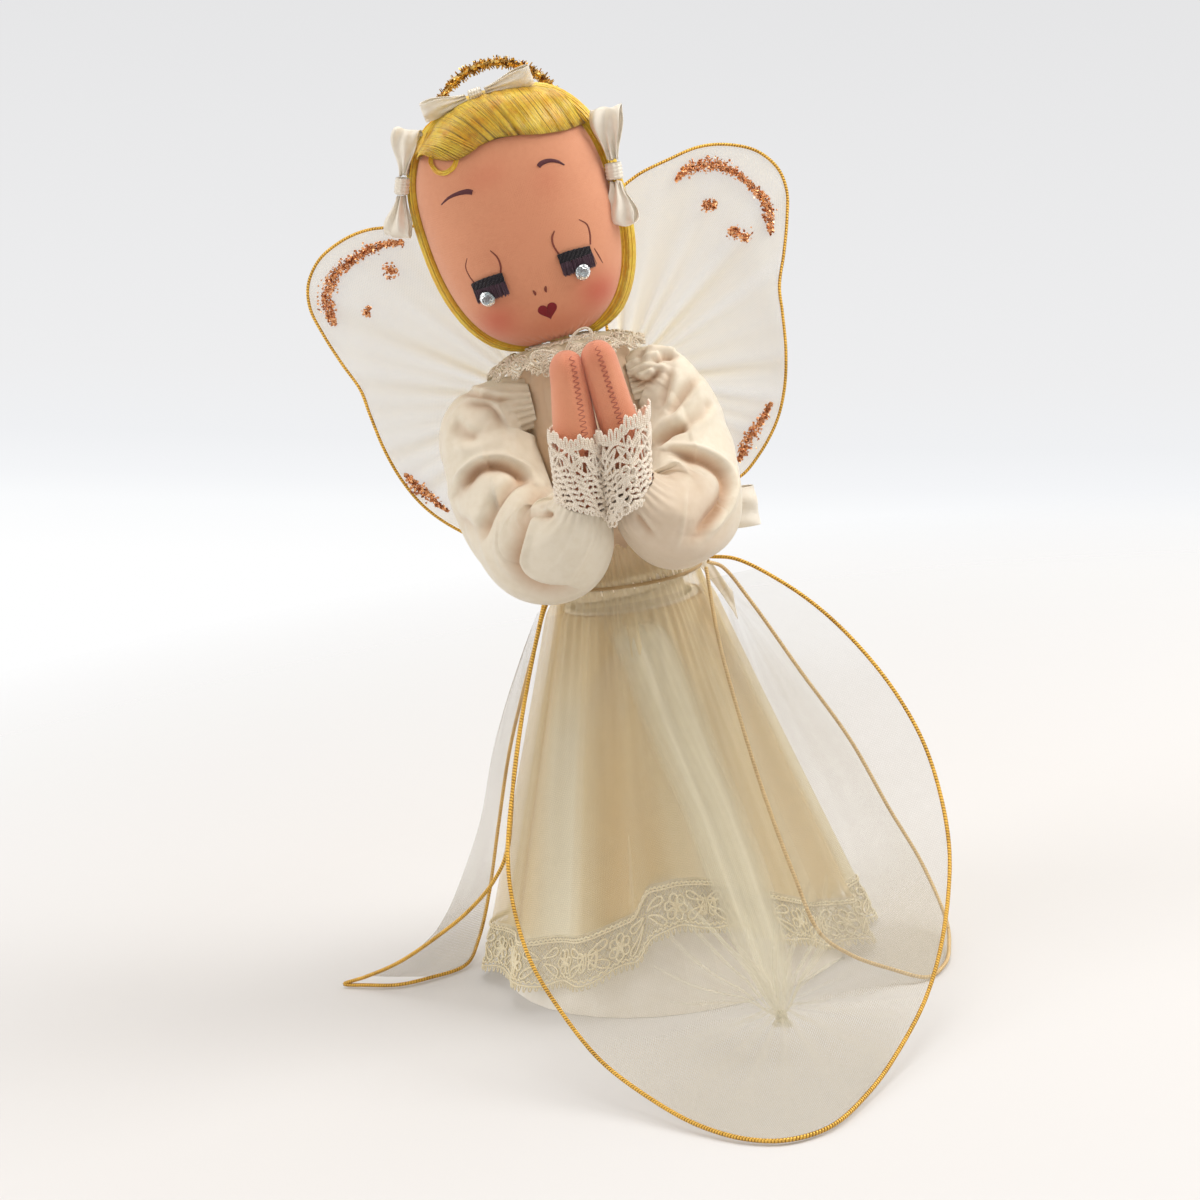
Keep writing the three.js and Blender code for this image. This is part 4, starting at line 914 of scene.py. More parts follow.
# Glitter on the wings: strokes of (across, up, half width) and dots, as dabbed on by hand
glitter = {
    "right": {"strokes": [[(36.5, 95.2, 0.5), (40, 97.2, 1.6), (44.5, 97.4, 1.7), (49.5, 95.6, 1.2), (53.5, 91.6, 0.8),
                           (56.6, 87.0, 1.3), (58.0, 82.0, 1.8), (57.2, 76.2, 0.7)],
                          [(35.6, 20.8, 0.4), (38.0, 24.0, 1.9), (41.0, 27.4, 1.6), (44.0, 30.0, 1.0), (47.2, 33.6, 0.4)]],
              "dots": [(42.9, 87.2, 1.5), (44.6, 86.6, 0.8), (48.3, 78.6, 1.5), (50.6, 76.9, 1.3)]},
    "left": {"strokes": [[(35.8, 96.6, 0.5), (40, 97.4, 1.1), (45, 97.0, 1.3), (50.5, 95.3, 1.2), (55.5, 92.8, 1.5),
                          (58.6, 88.6, 1.9), (59.4, 84.2, 1.9), (58.6, 80.4, 0.7)],
                         [(50.2, 38.4, 0.4), (48.8, 35.4, 1.5), (46.2, 31.9, 1.4), (43.4, 27.8, 0.6), (41.8, 26.2, 0.3)]],
             "dots": [(41.0, 90.5, 1.7), (49.6, 81.7, 0.9), (48.8, 82.6, 0.5)]},
}


def wingPoint(side, across, up, forward=0.0):
    back = wing["rootDepth"] + wing["sweep"] * (across - wing["rootSide"]) + wing["rake"] * np.abs(up - wing["rootUp"])
    return np.stack([side * across, back - forward + 0 * across, up + 0 * across], axis=-1)


def makeWings():
    for name, side in (("left", -1), ("right", 1)):
        shares = np.array(wingShares)
        outline = wingPoint(side, wing["span"] * shares[:, 0], wing["height"] * shares[:, 1])
        wire = moved(woundWire(outline, wing["radius"]), fromUpper)
        body = f"{name}_wing"
        piece(f"{name}_wing_wound_wire", wire, materials["gold"], body, [f"{name}_wing_wire"])
        surface = netInside(outline, wing["inset"] - 0.5, wing["bulge"], (0, 1, 0), 150, 120, lambda p: p, tip=0.1)
        # pleats fan out from the root and fade towards the edge; a few soft sags lie across the middle
        root = np.array([side * 9.6, 18.0, 48.0])
        offset = surface - root
        reach = np.hypot(offset[..., 0], offset[..., 2])
        turn = np.arctan2(offset[..., 2], np.abs(offset[..., 0]))
        fan = ripples(31 + side, 5, 17 * turn, 0.02 * reach) + 0.8 * ripples(41 + side, 5, 34 * turn)
        fade = np.exp(-((reach / 34) ** 2)) + 0.18
        edge = np.minimum(np.linspace(0, 1, 120), np.linspace(1, 0, 120))[None] * 8
        hold = np.clip(edge, 0, 1) * np.clip(reach / 8, 0, 1)
        depth = (0.95 * fan * fade + 0.5 * ripples(51 + side, 4, offset[..., 0] / 9, offset[..., 2] / 12)) * hold
        surface = surface + depth[..., None] * np.array([0, 1.0, 0])
        pleat = (0.5 * fade * (0.5 + 0.9 * fan) + 0.4 * np.exp(-reach / 18)) + 0.08
        net = moved(netShape(surface, pleat), fromUpper)
        sheet = piece(f"{name}_wing_sheer", net, materials["wing"], body, [f"{name}_wing_net"])
        flakes = glitterShape(side, glitter[name])
        dabs = piece(f"{name}_wing_glitter", moved(flakes, fromUpper), materials["glitter"], body, smooth=False)


# Flakes strewn along strokes: each is a small six-sided plate, turned at random, thick where the glue was.
def glitterShape(side, marks):
    picker = np.random.default_rng(70 + side)
    places = []
    for stroke in marks["strokes"]:
        stroke = np.array(stroke)
        path = pathThrough(np.column_stack([stroke[:, 0], np.zeros(len(stroke)), stroke[:, 1]]))
        count = int(path[1][-1] * 34)
        shares = picker.uniform(0, 1, count)
        wide = np.interp(shares, np.linspace(0, 1, len(stroke)), stroke[:, 2])
        at = along(path, shares)
        places.append(np.column_stack([at[:, 0], at[:, 2]]) + picker.normal(0, 0.5, (count, 2)) * wide[:, None])
    for across, up, radius in marks["dots"]:
        places.append(np.array([across, up]) + picker.normal(0, 0.5, (int(70 * radius), 2)) * radius)
    places = np.concatenate(places)
    count = len(places)
    centre = wingPoint(side, places[:, 0], places[:, 1], forward=0.35) - np.array([0, 1, 0]) * picker.uniform(0, 0.7, (count, 1))
    normal = unit(np.array([0, -1.0, 0]) + picker.normal(0, 0.55, (count, 3)))
    first = unit(np.cross(normal, picker.normal(0, 1, (count, 3))))
    second = np.cross(normal, first)
    size = picker.uniform(0.16, 0.42, (count, 1, 1))
    angle = np.arange(6) / 6 * fullTurn
    rim = centre[:, None] + size * (np.cos(angle)[None, :, None] * first[:, None] + np.sin(angle)[None, :, None] * second[:, None])
    front = rim + 0.04 * normal[:, None]
    points = np.concatenate([front, rim - 0.04 * normal[:, None]], axis=1).reshape(-1, 3)
    start = np.arange(count)[:, None] * 12
    k = np.arange(6)
    sides = (start[:, :, None] + np.stack([k, k + 6, (k + 1) % 6 + 6, (k + 1) % 6], axis=-1)[None]).reshape(-1, 4)
    faces = [start + k[None], start + 6 + k[None, ::-1], sides]
    return {"points": points, "faces": faces, "uvs": [np.zeros((*f.shape, 2)) for f in faces], "marks": {}}


makeWings()
print("wings made")


# Petals: wired loops from the waist to the floor; the front one carries the gathered tail and its knot
petals = {
    "front": {"turn": -83.0, "reach": 126.0, "half": 62.0, "bulge": 2.0, "tip": 0.3, "outline": [
        (0.06, -0.3, 1.02), (0.125, -0.374, 0.993), (0.21, -0.511, 0.819), (0.275, -0.613, 0.649),
        (0.342, -0.697, 0.481), (0.397, -0.716, 0.379), (0.482, -0.694, 0.264), (0.575, -0.624, 0.175),
        (0.682, -0.523, 0.094), (0.79, -0.387, 0.042), (0.894, -0.25, 0.016), (0.971, -0.108, 0.009), (1, 0.013, 0.009),
        (0.984, 0.16, 0.009), (0.89, 0.355, 0.017), (0.787, 0.524, 0.042), (0.687, 0.685, 0.09), (0.596, 0.81, 0.156),
        (0.494, 0.922, 0.248), (0.441, 0.972, 0.33), (0.388, 0.992, 0.433), (0.336, 0.976, 0.556), (0.287, 0.918, 0.67),
        (0.24, 0.826, 0.78), (0.179, 0.71, 0.88), (0.115, 0.582, 0.956), (0.075, 0.43, 1.02), (0.04, 0.33, 1.03)]},
    "left": {"turn": 180.0, "reach": 90.4, "half": 36.0, "bulge": 6.3, "tip": 1.5, "outline": [
        (0.226, 0.06, 1.01), (0.244, 0.278, 0.975), (0.319, 0.556, 0.796), (0.382, 0.722, 0.614), (0.432, 0.833, 0.426),
        (0.482, 0.778, 0.348), (0.57, 0.611, 0.26), (0.674, 0.389, 0.179), (0.814, 0.111, 0.087), (0.93, -0.11, 0.032),
        (1, -0.194, 0.01), (0.93, -0.11, 0.009), (0.833, -0.022, 0.009), (0.744, -0.072, 0.009), (0.64, -0.222, 0.01),
        (0.6, -0.5, 0.04), (0.556, -0.806, 0.13), (0.5, -0.972, 0.3), (0.433, -0.944, 0.5), (0.35, -0.722, 0.7),
        (0.272, -0.389, 0.88), (0.228, -0.075, 1.01)]},
    "right": {"turn": -20.0, "reach": 73.0, "half": 38.0, "bulge": 2.0, "tip": 0.5, "outline": [
        (0.263, 0.213, 1.01), (0.297, 0.318, 0.985), (0.371, 0.371, 0.889), (0.507, 0.439, 0.69), (0.647, 0.508, 0.489),
        (0.756, 0.529, 0.292), (0.848, 0.482, 0.159), (0.949, 0.187, 0.04), (0.986, -0.124, 0.013), (0.999, -0.424, 0.009),
        (0.96, -0.645, 0.01), (0.849, -0.703, 0.042), (0.745, -0.887, 0.108), (0.668, -0.989, 0.18), (0.593, -0.903, 0.32),
        (0.49, -0.666, 0.5), (0.415, -0.495, 0.68), (0.347, -0.289, 0.85), (0.286, 0.02, 1.01)]},
}
petalHeight, petalWire = 100.0, 0.52
tailRows = [(0.16, -0.2, 0.06, 1.0), (0.2, -0.13, 0.12, 0.86), (0.255, -0.09, 0.17, 0.7), (0.3, -0.05, 0.2, 0.6),
            (0.35, 0.0, 0.24, 0.48), (0.41, 0.03, 0.27, 0.36), (0.468, 0.06, 0.28, 0.265), (0.54, 0.085, 0.275, 0.19),
            (0.6, 0.12, 0.24, 0.135), (0.65, 0.155, 0.175, 0.1)]


# out along the petal's direction, across it, and up: (out c - across s, out s + across c, 100 up)
def petalPoint(petal, out, across, up):
    c, s = np.cos(np.radians(petal["turn"])), np.sin(np.radians(petal["turn"]))
    out, across = petal["reach"] * out, petal["half"] * across
    return np.stack([out * c - across * s, out * s + across * c, petalHeight * up + 0 * out], axis=-1)


# Moves points out to clear the skirt's crests.
def clearOfSkirt(points):
    z = np.minimum(points[..., 2], cone["height"])
    depth = lerp(skirt["hemFold"], skirt["waistFold"], z / cone["height"])
    least = coneRadius(z) + 3.1 + depth
    radius = np.hypot(points[..., 0], points[..., 1])
    grow = np.maximum(least / np.maximum(radius, 1e-6), 1)
    return points * np.stack([grow, grow, np.ones_like(grow)], axis=-1)


def makePetals():
    for name, petal in petals.items():
        outline = petalPoint(petal, *np.array(petal["outline"]).T)
        body = f"{name}_petal"
        gold = materials["paleGold" if name == "right" else "gold"]
        piece(f"{name}_petal_wound_wire", woundWire(outline, petalWire), gold, body, [f"{name}_petal_wire"])
        c, s = np.cos(np.radians(petal["turn"])), np.sin(np.radians(petal["turn"]))
        rungs, columns = (210, 168) if name == "front" else (136, 100)
        surface = netInside(outline, 0.6, petal["bulge"], (c, s, 0), rungs, columns, clearOfSkirt, tip=petal["tip"])
        root = surface[0].mean(axis=0)
        offset = surface - root
        reach = np.linalg.norm(offset, axis=-1)
        side = offset[..., 0] * -s + offset[..., 1] * c
        turn = np.arctan2(side, reach)
        fade = np.exp(-((reach / 55) ** 2)) + 0.22
        fan = ripples(len(name) + 3, 5, 13 * turn) + 0.6 * ripples(len(name) + 9, 5, 31 * turn)
        edge = np.clip(np.minimum(np.arange(columns), columns - 1 - np.arange(columns)) / (columns * 0.12), 0, 1)[None]
        rise = surface[..., 2] / petalHeight
        low = smoothStep(1.2, 9.0, surface[..., 2])
        depth = (0.35 * fan * fade + 0.5 * ripples(len(name) + 20, 4, side / 11, reach / 20)) * edge * low * smoothStep(0, 12, reach)
        # density: pleats fanning from the root, plus painted shade near the floor (denser veil) and painted light
        # higher up (thinner veil); below 0 at the top it fades the gathered edge out
        pleat = 0.16 * fade * (0.45 + fan) + 0.1 - 0.1 * smoothStep(0.7, 0.9, rise) + 0.34 * smoothStep(0.32, 0.03, rise)
        pleat = pleat - 0.45 * smoothStep(0.88, 0.97, rise)
        normal = surfaceNormals(surface)
        outward = np.sign((normal * np.array([c, s, 0.3])).sum(-1, keepdims=True))
        if name == "front":
            knot = petalPoint(petal, 0.65, 0.165, 0.1)
            away = surface - knot
            distance = np.linalg.norm(away, axis=-1)
            spin = np.arctan2(away @ np.array([c, s, -0.4]), away @ np.array([-s, c, 0.0]))
            rays = np.cos(15 * spin + 1.6 * np.sin(3 * spin + 0.5)) + 0.5 * np.cos(31 * spin + 2 * np.sin(5 * spin))
            near = np.exp(-((distance / 24) ** 2)) * np.clip(distance / 3, 0, 1)
            depth = depth + 0.14 * rays * near * low
            pleat = pleat + near * 0.05 * rays
        surface = surface + np.abs(depth)[..., None] * normal * outward
        net = piece(f"{name}_petal_sheer", netShape(surface, pleat), materials["petal"], body, [f"{name}_petal_net"])
        extra = frontTail(petal, surface) if name == "front" else []


# The tail: rows of (out, from, to, up) with a wave of pleats that draw together, tied by thread at the knot.
def frontTail(petal, surface):
    rows, columns = 90, 150
    table = np.array(tailRows)
    at = np.linspace(0, len(table) - 1, rows)
    out, start, end, up = (np.interp(at, np.arange(len(table)), table[:, k]) for k in range(4))
    v = np.linspace(0, 1, columns)[None]
    across = lerp(start[:, None], end[:, None], v)
    points = petalPoint(petal, out[:, None] + 0 * v, across, up[:, None] + 0 * v)
    width = np.linalg.norm(points[:, -1] - points[:, 0], axis=-1)[:, None]
    share = (at / (len(table) - 1))[:, None]
    c, s = np.cos(np.radians(petal["turn"])), np.sin(np.radians(petal["turn"]))
    inward = unit(np.array([-c, -s, -0.5]))
    wave = np.sin(fullTurn * (2.6 * v + 0.3 * np.sin(3 * share) + 0.1 * np.sin(fullTurn * v * 2 + 4 * share)))
    fine = np.sin(fullTurn * (9 * v + 0.5 * np.sin(5 * share + 2)))
    depth = np.clip(width * 0.05, 0.25, 1.1)
    points = points + (1.35 + depth * (0.4 * wave + 0.035 * fine))[..., None] * inward
    soft = np.clip(1 - np.abs(2 * v - 1) ** 3, 0, 1)
    pleat = (0.74 + 0.1 * wave + 0.02 * fine) * lerp(soft, 1.0, 0.7 * share**3)
    pleat = pleat - 1.1 * smoothStep(0.09, 0.01, share)
    sheet = piece("front_petal_gathered_tail", netShape(points, pleat), materials["tail"], "front_petal",
                  ["front_petal_tail"])
    knot = petalPoint(petal, 0.652, 0.165, 0.1) + 0.9 * inward
    axis = unit(points[-1].mean(axis=0) - points[-12].mean(axis=0))
    first = unit(np.cross(axis, (0.2, 0.1, 1.0)))
    second = np.cross(axis, first)
    # the knot: five turns of thread round the gathered end, and a short crumpled end below it
    t = np.linspace(0, 5 * fullTurn, 100)
    coil = knot + np.outer(np.cos(t), first) * 1.25 + np.outer(np.sin(t), second) * 1.25 + np.outer(t / fullTurn * 0.42 - 1, axis)
    coil = threadShape(coil[None], coil[None] - knot, 0.18, sides=6, marks={"pleat": np.ones((1, 100))})
    q = np.linspace(0, 1, 14)[:, None]
    a = (np.arange(60) / 60 * fullTurn)[None]
    radius = (0.9 + 1.1 * q**1.4) * (1 + 0.2 * q * np.cos(9 * a + np.sin(2 * a)))
    end = knot + (radius * np.cos(a))[..., None] * first * 1.1 + (radius * np.sin(a) * 0.55)[..., None] * second \
        + (q * 2.4 + 0.3 * np.sin(3 * a) * q)[..., None] * axis
    wide = np.arange(61) / 60
    uvGrid = np.stack([np.broadcast_to(wide * 12, (14, 61)), np.broadcast_to(q * 4, (14, 61))], -1)
    end = gridShape(end, uvGrid, wrapColumns=True, marks={"pleat": 0.7 + 0.1 * np.cos(9 * a) + 0 * q})
    end["points"][:, 2] = np.maximum(end["points"][:, 2], 0.6)
    tied = piece("front_petal_knot", joinShapes(coil, end), materials["tail"], "front_petal")
    # loose pleats that fan from the knot over the net's inner face, narrow at the knot and wider at the far end
    fan = [(168, 30), (158, 36), (149, 39), (141, 37), (132, 40), (124, 34), (112, 30), (100, 24), (84, 26), (72, 34), (61, 38),
           (50, 36), (40, 32), (28, 24), (-150, 12), (-120, 9), (-80, 10), (-40, 12), (-8, 14), (196, 16)]
    flatSurface = surface.reshape(-1, 3)
    strips = []
    for k, (turn, length) in enumerate(fan):
        length = 0.82 * length
        q = np.linspace(0.04, 1, 24)
        bend = np.radians(turn + 7 * np.sin(2.2 * q + k))
        plan = knot[:2] + length * q[:, None] * np.stack([np.cos(bend), np.sin(bend)], -1)
        nearest = ((plan[:, None] - flatSurface[None, :, :2]) ** 2).sum(-1).argmin(axis=1)
        height = np.convolve(np.pad(flatSurface[nearest, 2], 2, mode="edge"), np.ones(5) / 5, mode="valid")
        line = np.column_stack([plan, np.maximum(height - 0.8, 0.7)])
        line[:, 2] = lerp(knot[2], line[:, 2], smoothStep(0, 0.3, q))
        sideways = unit(np.cross(np.gradient(line, axis=0), (0, 0, 1.0)))
        half = (0.2 + 0.75 * q**0.8 * (1 - 0.7 * smoothStep(0.8, 1, q)))[:, None]
        fold = np.stack([line - sideways * half, line + np.array([0, 0, 0.35]), line + sideways * half], axis=1)
        strips.append(netShape(fold, 0.42 - 0.42 * q[:, None] ** 2 + 0 * fold[..., 0]))
    pleats = piece("front_petal_fanned_pleats", joinShapes(*strips), materials["tail"], "front_petal")
    return [tied, pleats]


makePetals()
print("petals made")


# Body: stuffed torso and hips under the bodice, waistband, binding and neck
torso = {"height": 60.5, "halfWidth": 12.5, "halfDepth": 11.5}
torsoWidth = [1, 1.02, 1.05, 1.08, 1.06, 0.98, 0.74, 0.36]
bodiceWidth = [1, 1.02, 1.05, 1.08, 1.12, 1.2, 1.2, 1.0]
torsoDepth = [0.92, 0.96, 1, 1.02, 1, 0.88, 0.66, 0.4]


# Rings up the body: half width and half depth follow their shares of the height.
def torsoSurface(rows, columns, low, high, extra, ripple=None, widths=torsoWidth):
    t = np.linspace(low, high, rows)[:, None]
    a = (np.arange(columns) / columns * fullTurn)[None]
    soft = np.linspace(0, 1, len(torsoWidth))
    more = extra + (0 if ripple is None else ripple(t, a))
    x = (torso["halfWidth"] * np.interp(t, soft, widths) + more) * np.cos(a)
    y = (torso["halfDepth"] * np.interp(t, soft, torsoDepth) + more) * np.sin(a)
    z = 0.3 + torso["height"] * t + 0 * a
    wide = np.arange(columns + 1) / columns
    uvGrid = np.stack([np.broadcast_to(wide * 76.0, (rows, columns + 1)), np.broadcast_to(t * 60.0, (rows, columns + 1))], -1)
    return np.stack([x, y, z], -1), uvGrid


def makeBody():
    surface, uvGrid = torsoSurface(40, 72, 0, 1, -0.1)
    made = piece("torso_stuffed", moved(gridShape(surface, uvGrid, wrapColumns=True, capEnds=True, outward=True), fromUpper),
                 materials["stuffing"], "doll", ["torso"])
    a = (np.arange(72) / 72 * fullTurn)[None]
    q = np.linspace(0, 1, 18)[:, None]
    radius = 14.2 * np.clip(np.sin(np.pi * (0.12 + 0.5 * q)), 0, 1) ** 0.7
    z = 86.3 + 11.4 * q + q * radius * np.cos(a) * np.tan(np.radians(pose["lean"]))
    hips = np.stack([radius * np.cos(a), radius * np.sin(a), z], -1)
    uvGrid = np.stack([np.broadcast_to(np.arange(73) / 72 * 88, (18, 73)), np.broadcast_to(q * 12, (18, 73))], -1)
    made = piece("hips_stuffed", gridShape(hips, uvGrid, wrapColumns=True, capEnds=True, outward=True), materials["stuffing"],
                 "doll", ["hip_plug"])

    # the bodice fits closely, with a plain front panel between two seams and small drags at the waist
    def drag(t, a):
        front = np.abs(np.angle(np.exp(1j * (a + np.pi / 2))))
        seams = np.exp(-(((front - 0.62) / 0.05) ** 2))
        folds = np.sin(3 * a + 9 * t) * np.sin(5 * a - 14 * t + 1)
        return 0.42 * folds * (0.35 + smoothStep(0.35, 0.9, front)) - 0.35 * seams + 0.25 * np.sin(26 * a) * smoothStep(0.2, 0, t)

    surface, uvGrid = torsoSurface(70, 180, 0.05, 0.985, 0.75, drag, bodiceWidth)
    made = piece("bodice_cloth", moved(gridShape(surface, uvGrid, wrapColumns=True), fromUpper), materials["panel"], "doll",
                 ["bodice"], thickness=0.3)
    # running stitches down both seams of the panel
    stitches = []
    for side in (-1, 1):
        for k in range(24):
            t = 0.12 + 0.03 * k
            half = torso["halfWidth"] * np.interp(t, np.linspace(0, 1, 8), torsoWidth) + 1.0
            deep = torso["halfDepth"] * np.interp(t, np.linspace(0, 1, 8), torsoDepth) + 1.0
            turn = -np.pi / 2 + side * 0.62
            z = 0.3 + torso["height"] * (t + np.linspace(-0.009, 0.009, 5))
            stitches.append(np.stack([half * np.cos(turn) + 0 * z, deep * np.sin(turn) + 0 * z, z], -1))
    sewn = moved(threadShape(np.array(stitches), (0, -1.0, 0), 0.1, sides=4), fromUpper)
    piece("bodice_stitches", sewn, materials["laceThread"], "doll")
    # waistband: a soft rolled ring gathered all round
    a = (np.arange(300) / 300 * fullTurn)[None]
    q = (np.arange(24) / 24 * fullTurn)[:, None]
    gathers = 0.22 * np.cos(46 * a + 2 * np.sin(5 * a)) + 0.15 * np.cos(23 * a + 2 * np.sin(3 * a))
    radius = 16.7 + (1.45 + gathers) * np.cos(q)
    ringPoints = np.stack([radius * np.cos(a), radius * np.sin(a), 2.9 + (2.2 + 0.3 * gathers) * np.sin(q) + 0 * a], -1)
    uvGrid = np.stack(np.broadcast_arrays((np.arange(301) / 300 * 105)[None], (np.arange(25) / 24 * 12)[:, None]), -1)
    piece("waistband_gathered", moved(gridShape(ringPoints, uvGrid, wrapRows=True, wrapColumns=True, outward=True), fromUpper),
          materials["satin"], "doll", ["waistband"])
    # binding behind the shoulders: tape wound over a padded block, with thread crossing it
    q = (np.arange(40) / 40 * fullTurn)[None]
    t = np.linspace(-1, 1, 60)[:, None]
    power = lambda value, p: np.sign(value) * np.abs(value) ** p
    ends = (1 - np.abs(t) ** 6) ** 0.5 * 0.98 + 0.02
    turns = 0.16 * np.abs(np.sin(np.pi * 9 * t + q))
    y = 14.15 + (2.65 * ends + turns) * power(np.cos(q), 0.6)
    z = 50 + (4.7 * ends + turns) * power(np.sin(q), 0.6)
    block = np.stack([10.4 * t + 0 * q, y, z], -1)
    uvGrid = np.stack(np.broadcast_arrays((t * 10.4), (np.arange(41) / 40 * 30)[None]), -1)
    made = piece("wing_binding_tape", moved(gridShape(block, uvGrid, wrapColumns=True, capEnds=True, outward=True), fromUpper),
                 materials["ribbon"], "doll", ["wing_binding"])
    lines = []
    for k in range(12):
        x = lerp(-9.0, 9.0, k / 11) + np.linspace(-1, 1, 20) * (1 if k % 2 else -1) * 1.2
        lines.append(np.stack([x, 17.05 + 0 * x, 50 + np.linspace(-4.4, 4.4, 20)], -1))
    piece("wing_binding_threads", moved(threadShape(np.array(lines), (0, 1.0, 0), 0.16, sides=5), fromUpper),
          materials["laceThread"], "doll")
    for name, material in (("neck_post", "wood"), ("halo_stem", "gold"), ("waist_tie", "tieThreadShade"), ("cone_core", "card")):
        node = bpy.data.objects[name]
        node.data.materials.clear()
        node.data.materials.append(materials[material])


makeBody()
print("body made")


# Sleeves, arms and cuffs
arm = {"shoulder": (16.6, -1.0, 49.0), "swell": 6.0, "elbow": 25.6, "elbowFront": 18.0, "elbowUp": 21.0, "shift": 2.2,
       "wristSide": 6.7, "wristFront": 37.6}


def limbPoints(side, endUp):
    sx, sy, sz = arm["shoulder"]
    e, f, u = arm["elbow"], arm["elbowFront"], arm["elbowUp"]
    return np.array([(side * sx, sy, sz), (side * (sx + 6), -3, sz - 3), (side * e, -f / 2, (sz + u) / 2), (side * e, -f, u),
                     (side * 20, -28.4, 18), (side * 11.5 + arm["shift"], -36.2, 22.4),
                     (side * arm["wristSide"] + arm["shift"], -arm["wristFront"], endUp)], float)


# Frames along a limb: across is the front direction made square to the path, along is tangent x across.
def limbFrames(path, shares):
    centre = along(path, shares)
    tangent = unit(along(path, shares + 0.004) - along(path, shares - 0.004))
    across = np.array([0, -1.0, 0]) - tangent * -tangent[:, 1:2]
    across = unit(across)
    return centre, tangent, across, np.cross(tangent, across)


def smoothProfile(values, count):
    kernel = np.hanning(count // 9 | 1)
    kernel /= kernel.sum()
    return np.convolve(np.pad(values, len(kernel) // 2, mode="edge"), kernel, mode="valid")


# One crease: a gaussian across the line angle = a0 + slope (t - t0), held within a window along t.
def crease(t, a, t0, a0, slope, width, length, depth):
    off = np.angle(np.exp(1j * (a - a0 - slope * (t - t0))))
    window = np.exp(-(((t - t0) / length) ** 2))
    return depth * window * (np.exp(-((off / width) ** 2)) - 0.55 * np.exp(-(((off - 2.1 * width) / (1.3 * width)) ** 2)))


creases = [(0.2, 2.4, 6, 0.26, 0.14, -1.3), (0.3, 3.6, -6, 0.3, 0.2, -1.3), (0.45, 2.6, 5, 0.3, 0.2, -1.4),
           (0.55, 3.9, 7, 0.28, 0.16, -1.3), (0.75, 2.9, -6, 0.28, 0.14, -1.1)]


# A sleeve is a round tube carried along stations (x, y, z, radius) in the doll's upper frame. Its folds are lines in
# the front view (x, z): (points, width of the steep side, width of the gentle side, height; below 0 for a valley).
sleeves = {
    "left": {"stations": [(-12.5, -1, 51, 6.0), (-19.0, -1.5, 51, 8.2), (-25, -4, 47, 11.3), (-25.4, -9, 36, 12.0),
                          (-23.0, -17, 24.8, 12.3), (-18.6, -25, 18.9, 12.9), (-13, -31.5, 19.4, 12.0), (-8.3, -35.5, 24, 9.2),
                          (-5.3, -37.6, 29.5, 5.7)],
             "folds": [([(-27.5, 58.4), (-21.9, 56.0), (-19.4, 50.0)], 0.5, 1.5, -1.5),
                       ([(-28.6, 62.0), (-22.5, 58.8), (-17.1, 56.4)], 0.6, 1.4, -1.6),
                       ([(-34.6, 37.6), (-30.9, 41.0), (-27.2, 42.3), (-22.3, 41.5), (-18.8, 38.9), (-16.0, 35.4)], 0.7, 2.2, -3.4),
                       ([(-31.1, 24.1), (-27.5, 29.1), (-21.8, 34.4), (-17.5, 36)], 1.6, 0.6, -1.7),
                       ([(-12.1, 32.1), (-16.0, 29.8), (-18.6, 26.4), (-21.8, 21.3), (-23.8, 16.8), (-22.4, 13.0),
                         (-18.5, 10.0), (-13.5, 8.2)], 0.7, 2.4, -3.2),
                       ([(-17.6, 28.1), (-13.2, 26.2)], 0.9, 1.1, -2.6),
                       ([(-33.2, 47.6), (-26.9, 46.6), (-19.7, 47.6)], 1.6, 2.0, 1.0),
                       ([(-31.5, 54.2), (-29.0, 50.5), (-26.4, 48.8)], 1.2, 2.2, -1.1),
                       ([(-35.8, 30.8), (-31.5, 27.3), (-29.0, 29.4)], 1.2, 1.8, -0.9),
                       ([(-2.8, 22.0), (-6.0, 17.4), (-13.1, 9.7)], 0.35, 0.5, 0.35)]},
    "right": {"stations": [(13, -1, 50, 6.0), (18, -1.5, 50, 8.0), (22.3, -4, 43.8, 8.9), (23, -9, 35, 9.8),
                           (21.5, -17, 24.5, 11.6), (18.6, -25, 19, 12.3), (14.2, -31.5, 19.5, 11.5), (9.9, -35.5, 24, 9.0),
                           (7.2, -37.6, 29.5, 5.7)],
              "folds": [([(19.3, 62.3), (17.6, 60.2), (16.4, 57.6)], 0.6, 1.2, -1.2),
                        ([(19.6, 57.2), (22.0, 57.9), (25.6, 57.4)], 0.6, 1.2, -2.2),
                        ([(13.2, 55.2), (16.2, 52.6), (20.8, 55.0)], 0.6, 1.4, -2.2),
                        ([(23.6, 54.4), (21.3, 50.1), (18.4, 45.4)], 0.9, 1.6, -1.4),
                        ([(29.4, 50.4), (25.7, 47.3), (19.8, 43.0)], 0.8, 1.8, -1.7),
                        ([(31.4, 43.9), (27.7, 41.1), (23.2, 40.0)], 1.0, 2.0, -1.1),
                        ([(14.6, 36.4), (19.3, 38.6), (23.8, 38.9)], 1.4, 0.8, -2.8),
                        ([(17.6, 34.6), (23.3, 32.5), (26.7, 30.3), (29.8, 26.4), (30.0, 22.7), (27.7, 19.0), (23.2, 15.4),
                          (19.4, 12.8)], 0.7, 2.3, -3.2),
                        ([(17.6, 32.4), (19.2, 29.4), (19.8, 25.8)], 1.3, 1.6, 1.0),
                        ([(19.1, 24.4), (16.8, 17.6), (13.6, 10.7)], 0.35, 0.5, 0.35),
                        ([(6.4, 21.6), (8.9, 16.0)], 0.5, 0.9, -0.9)]},
}


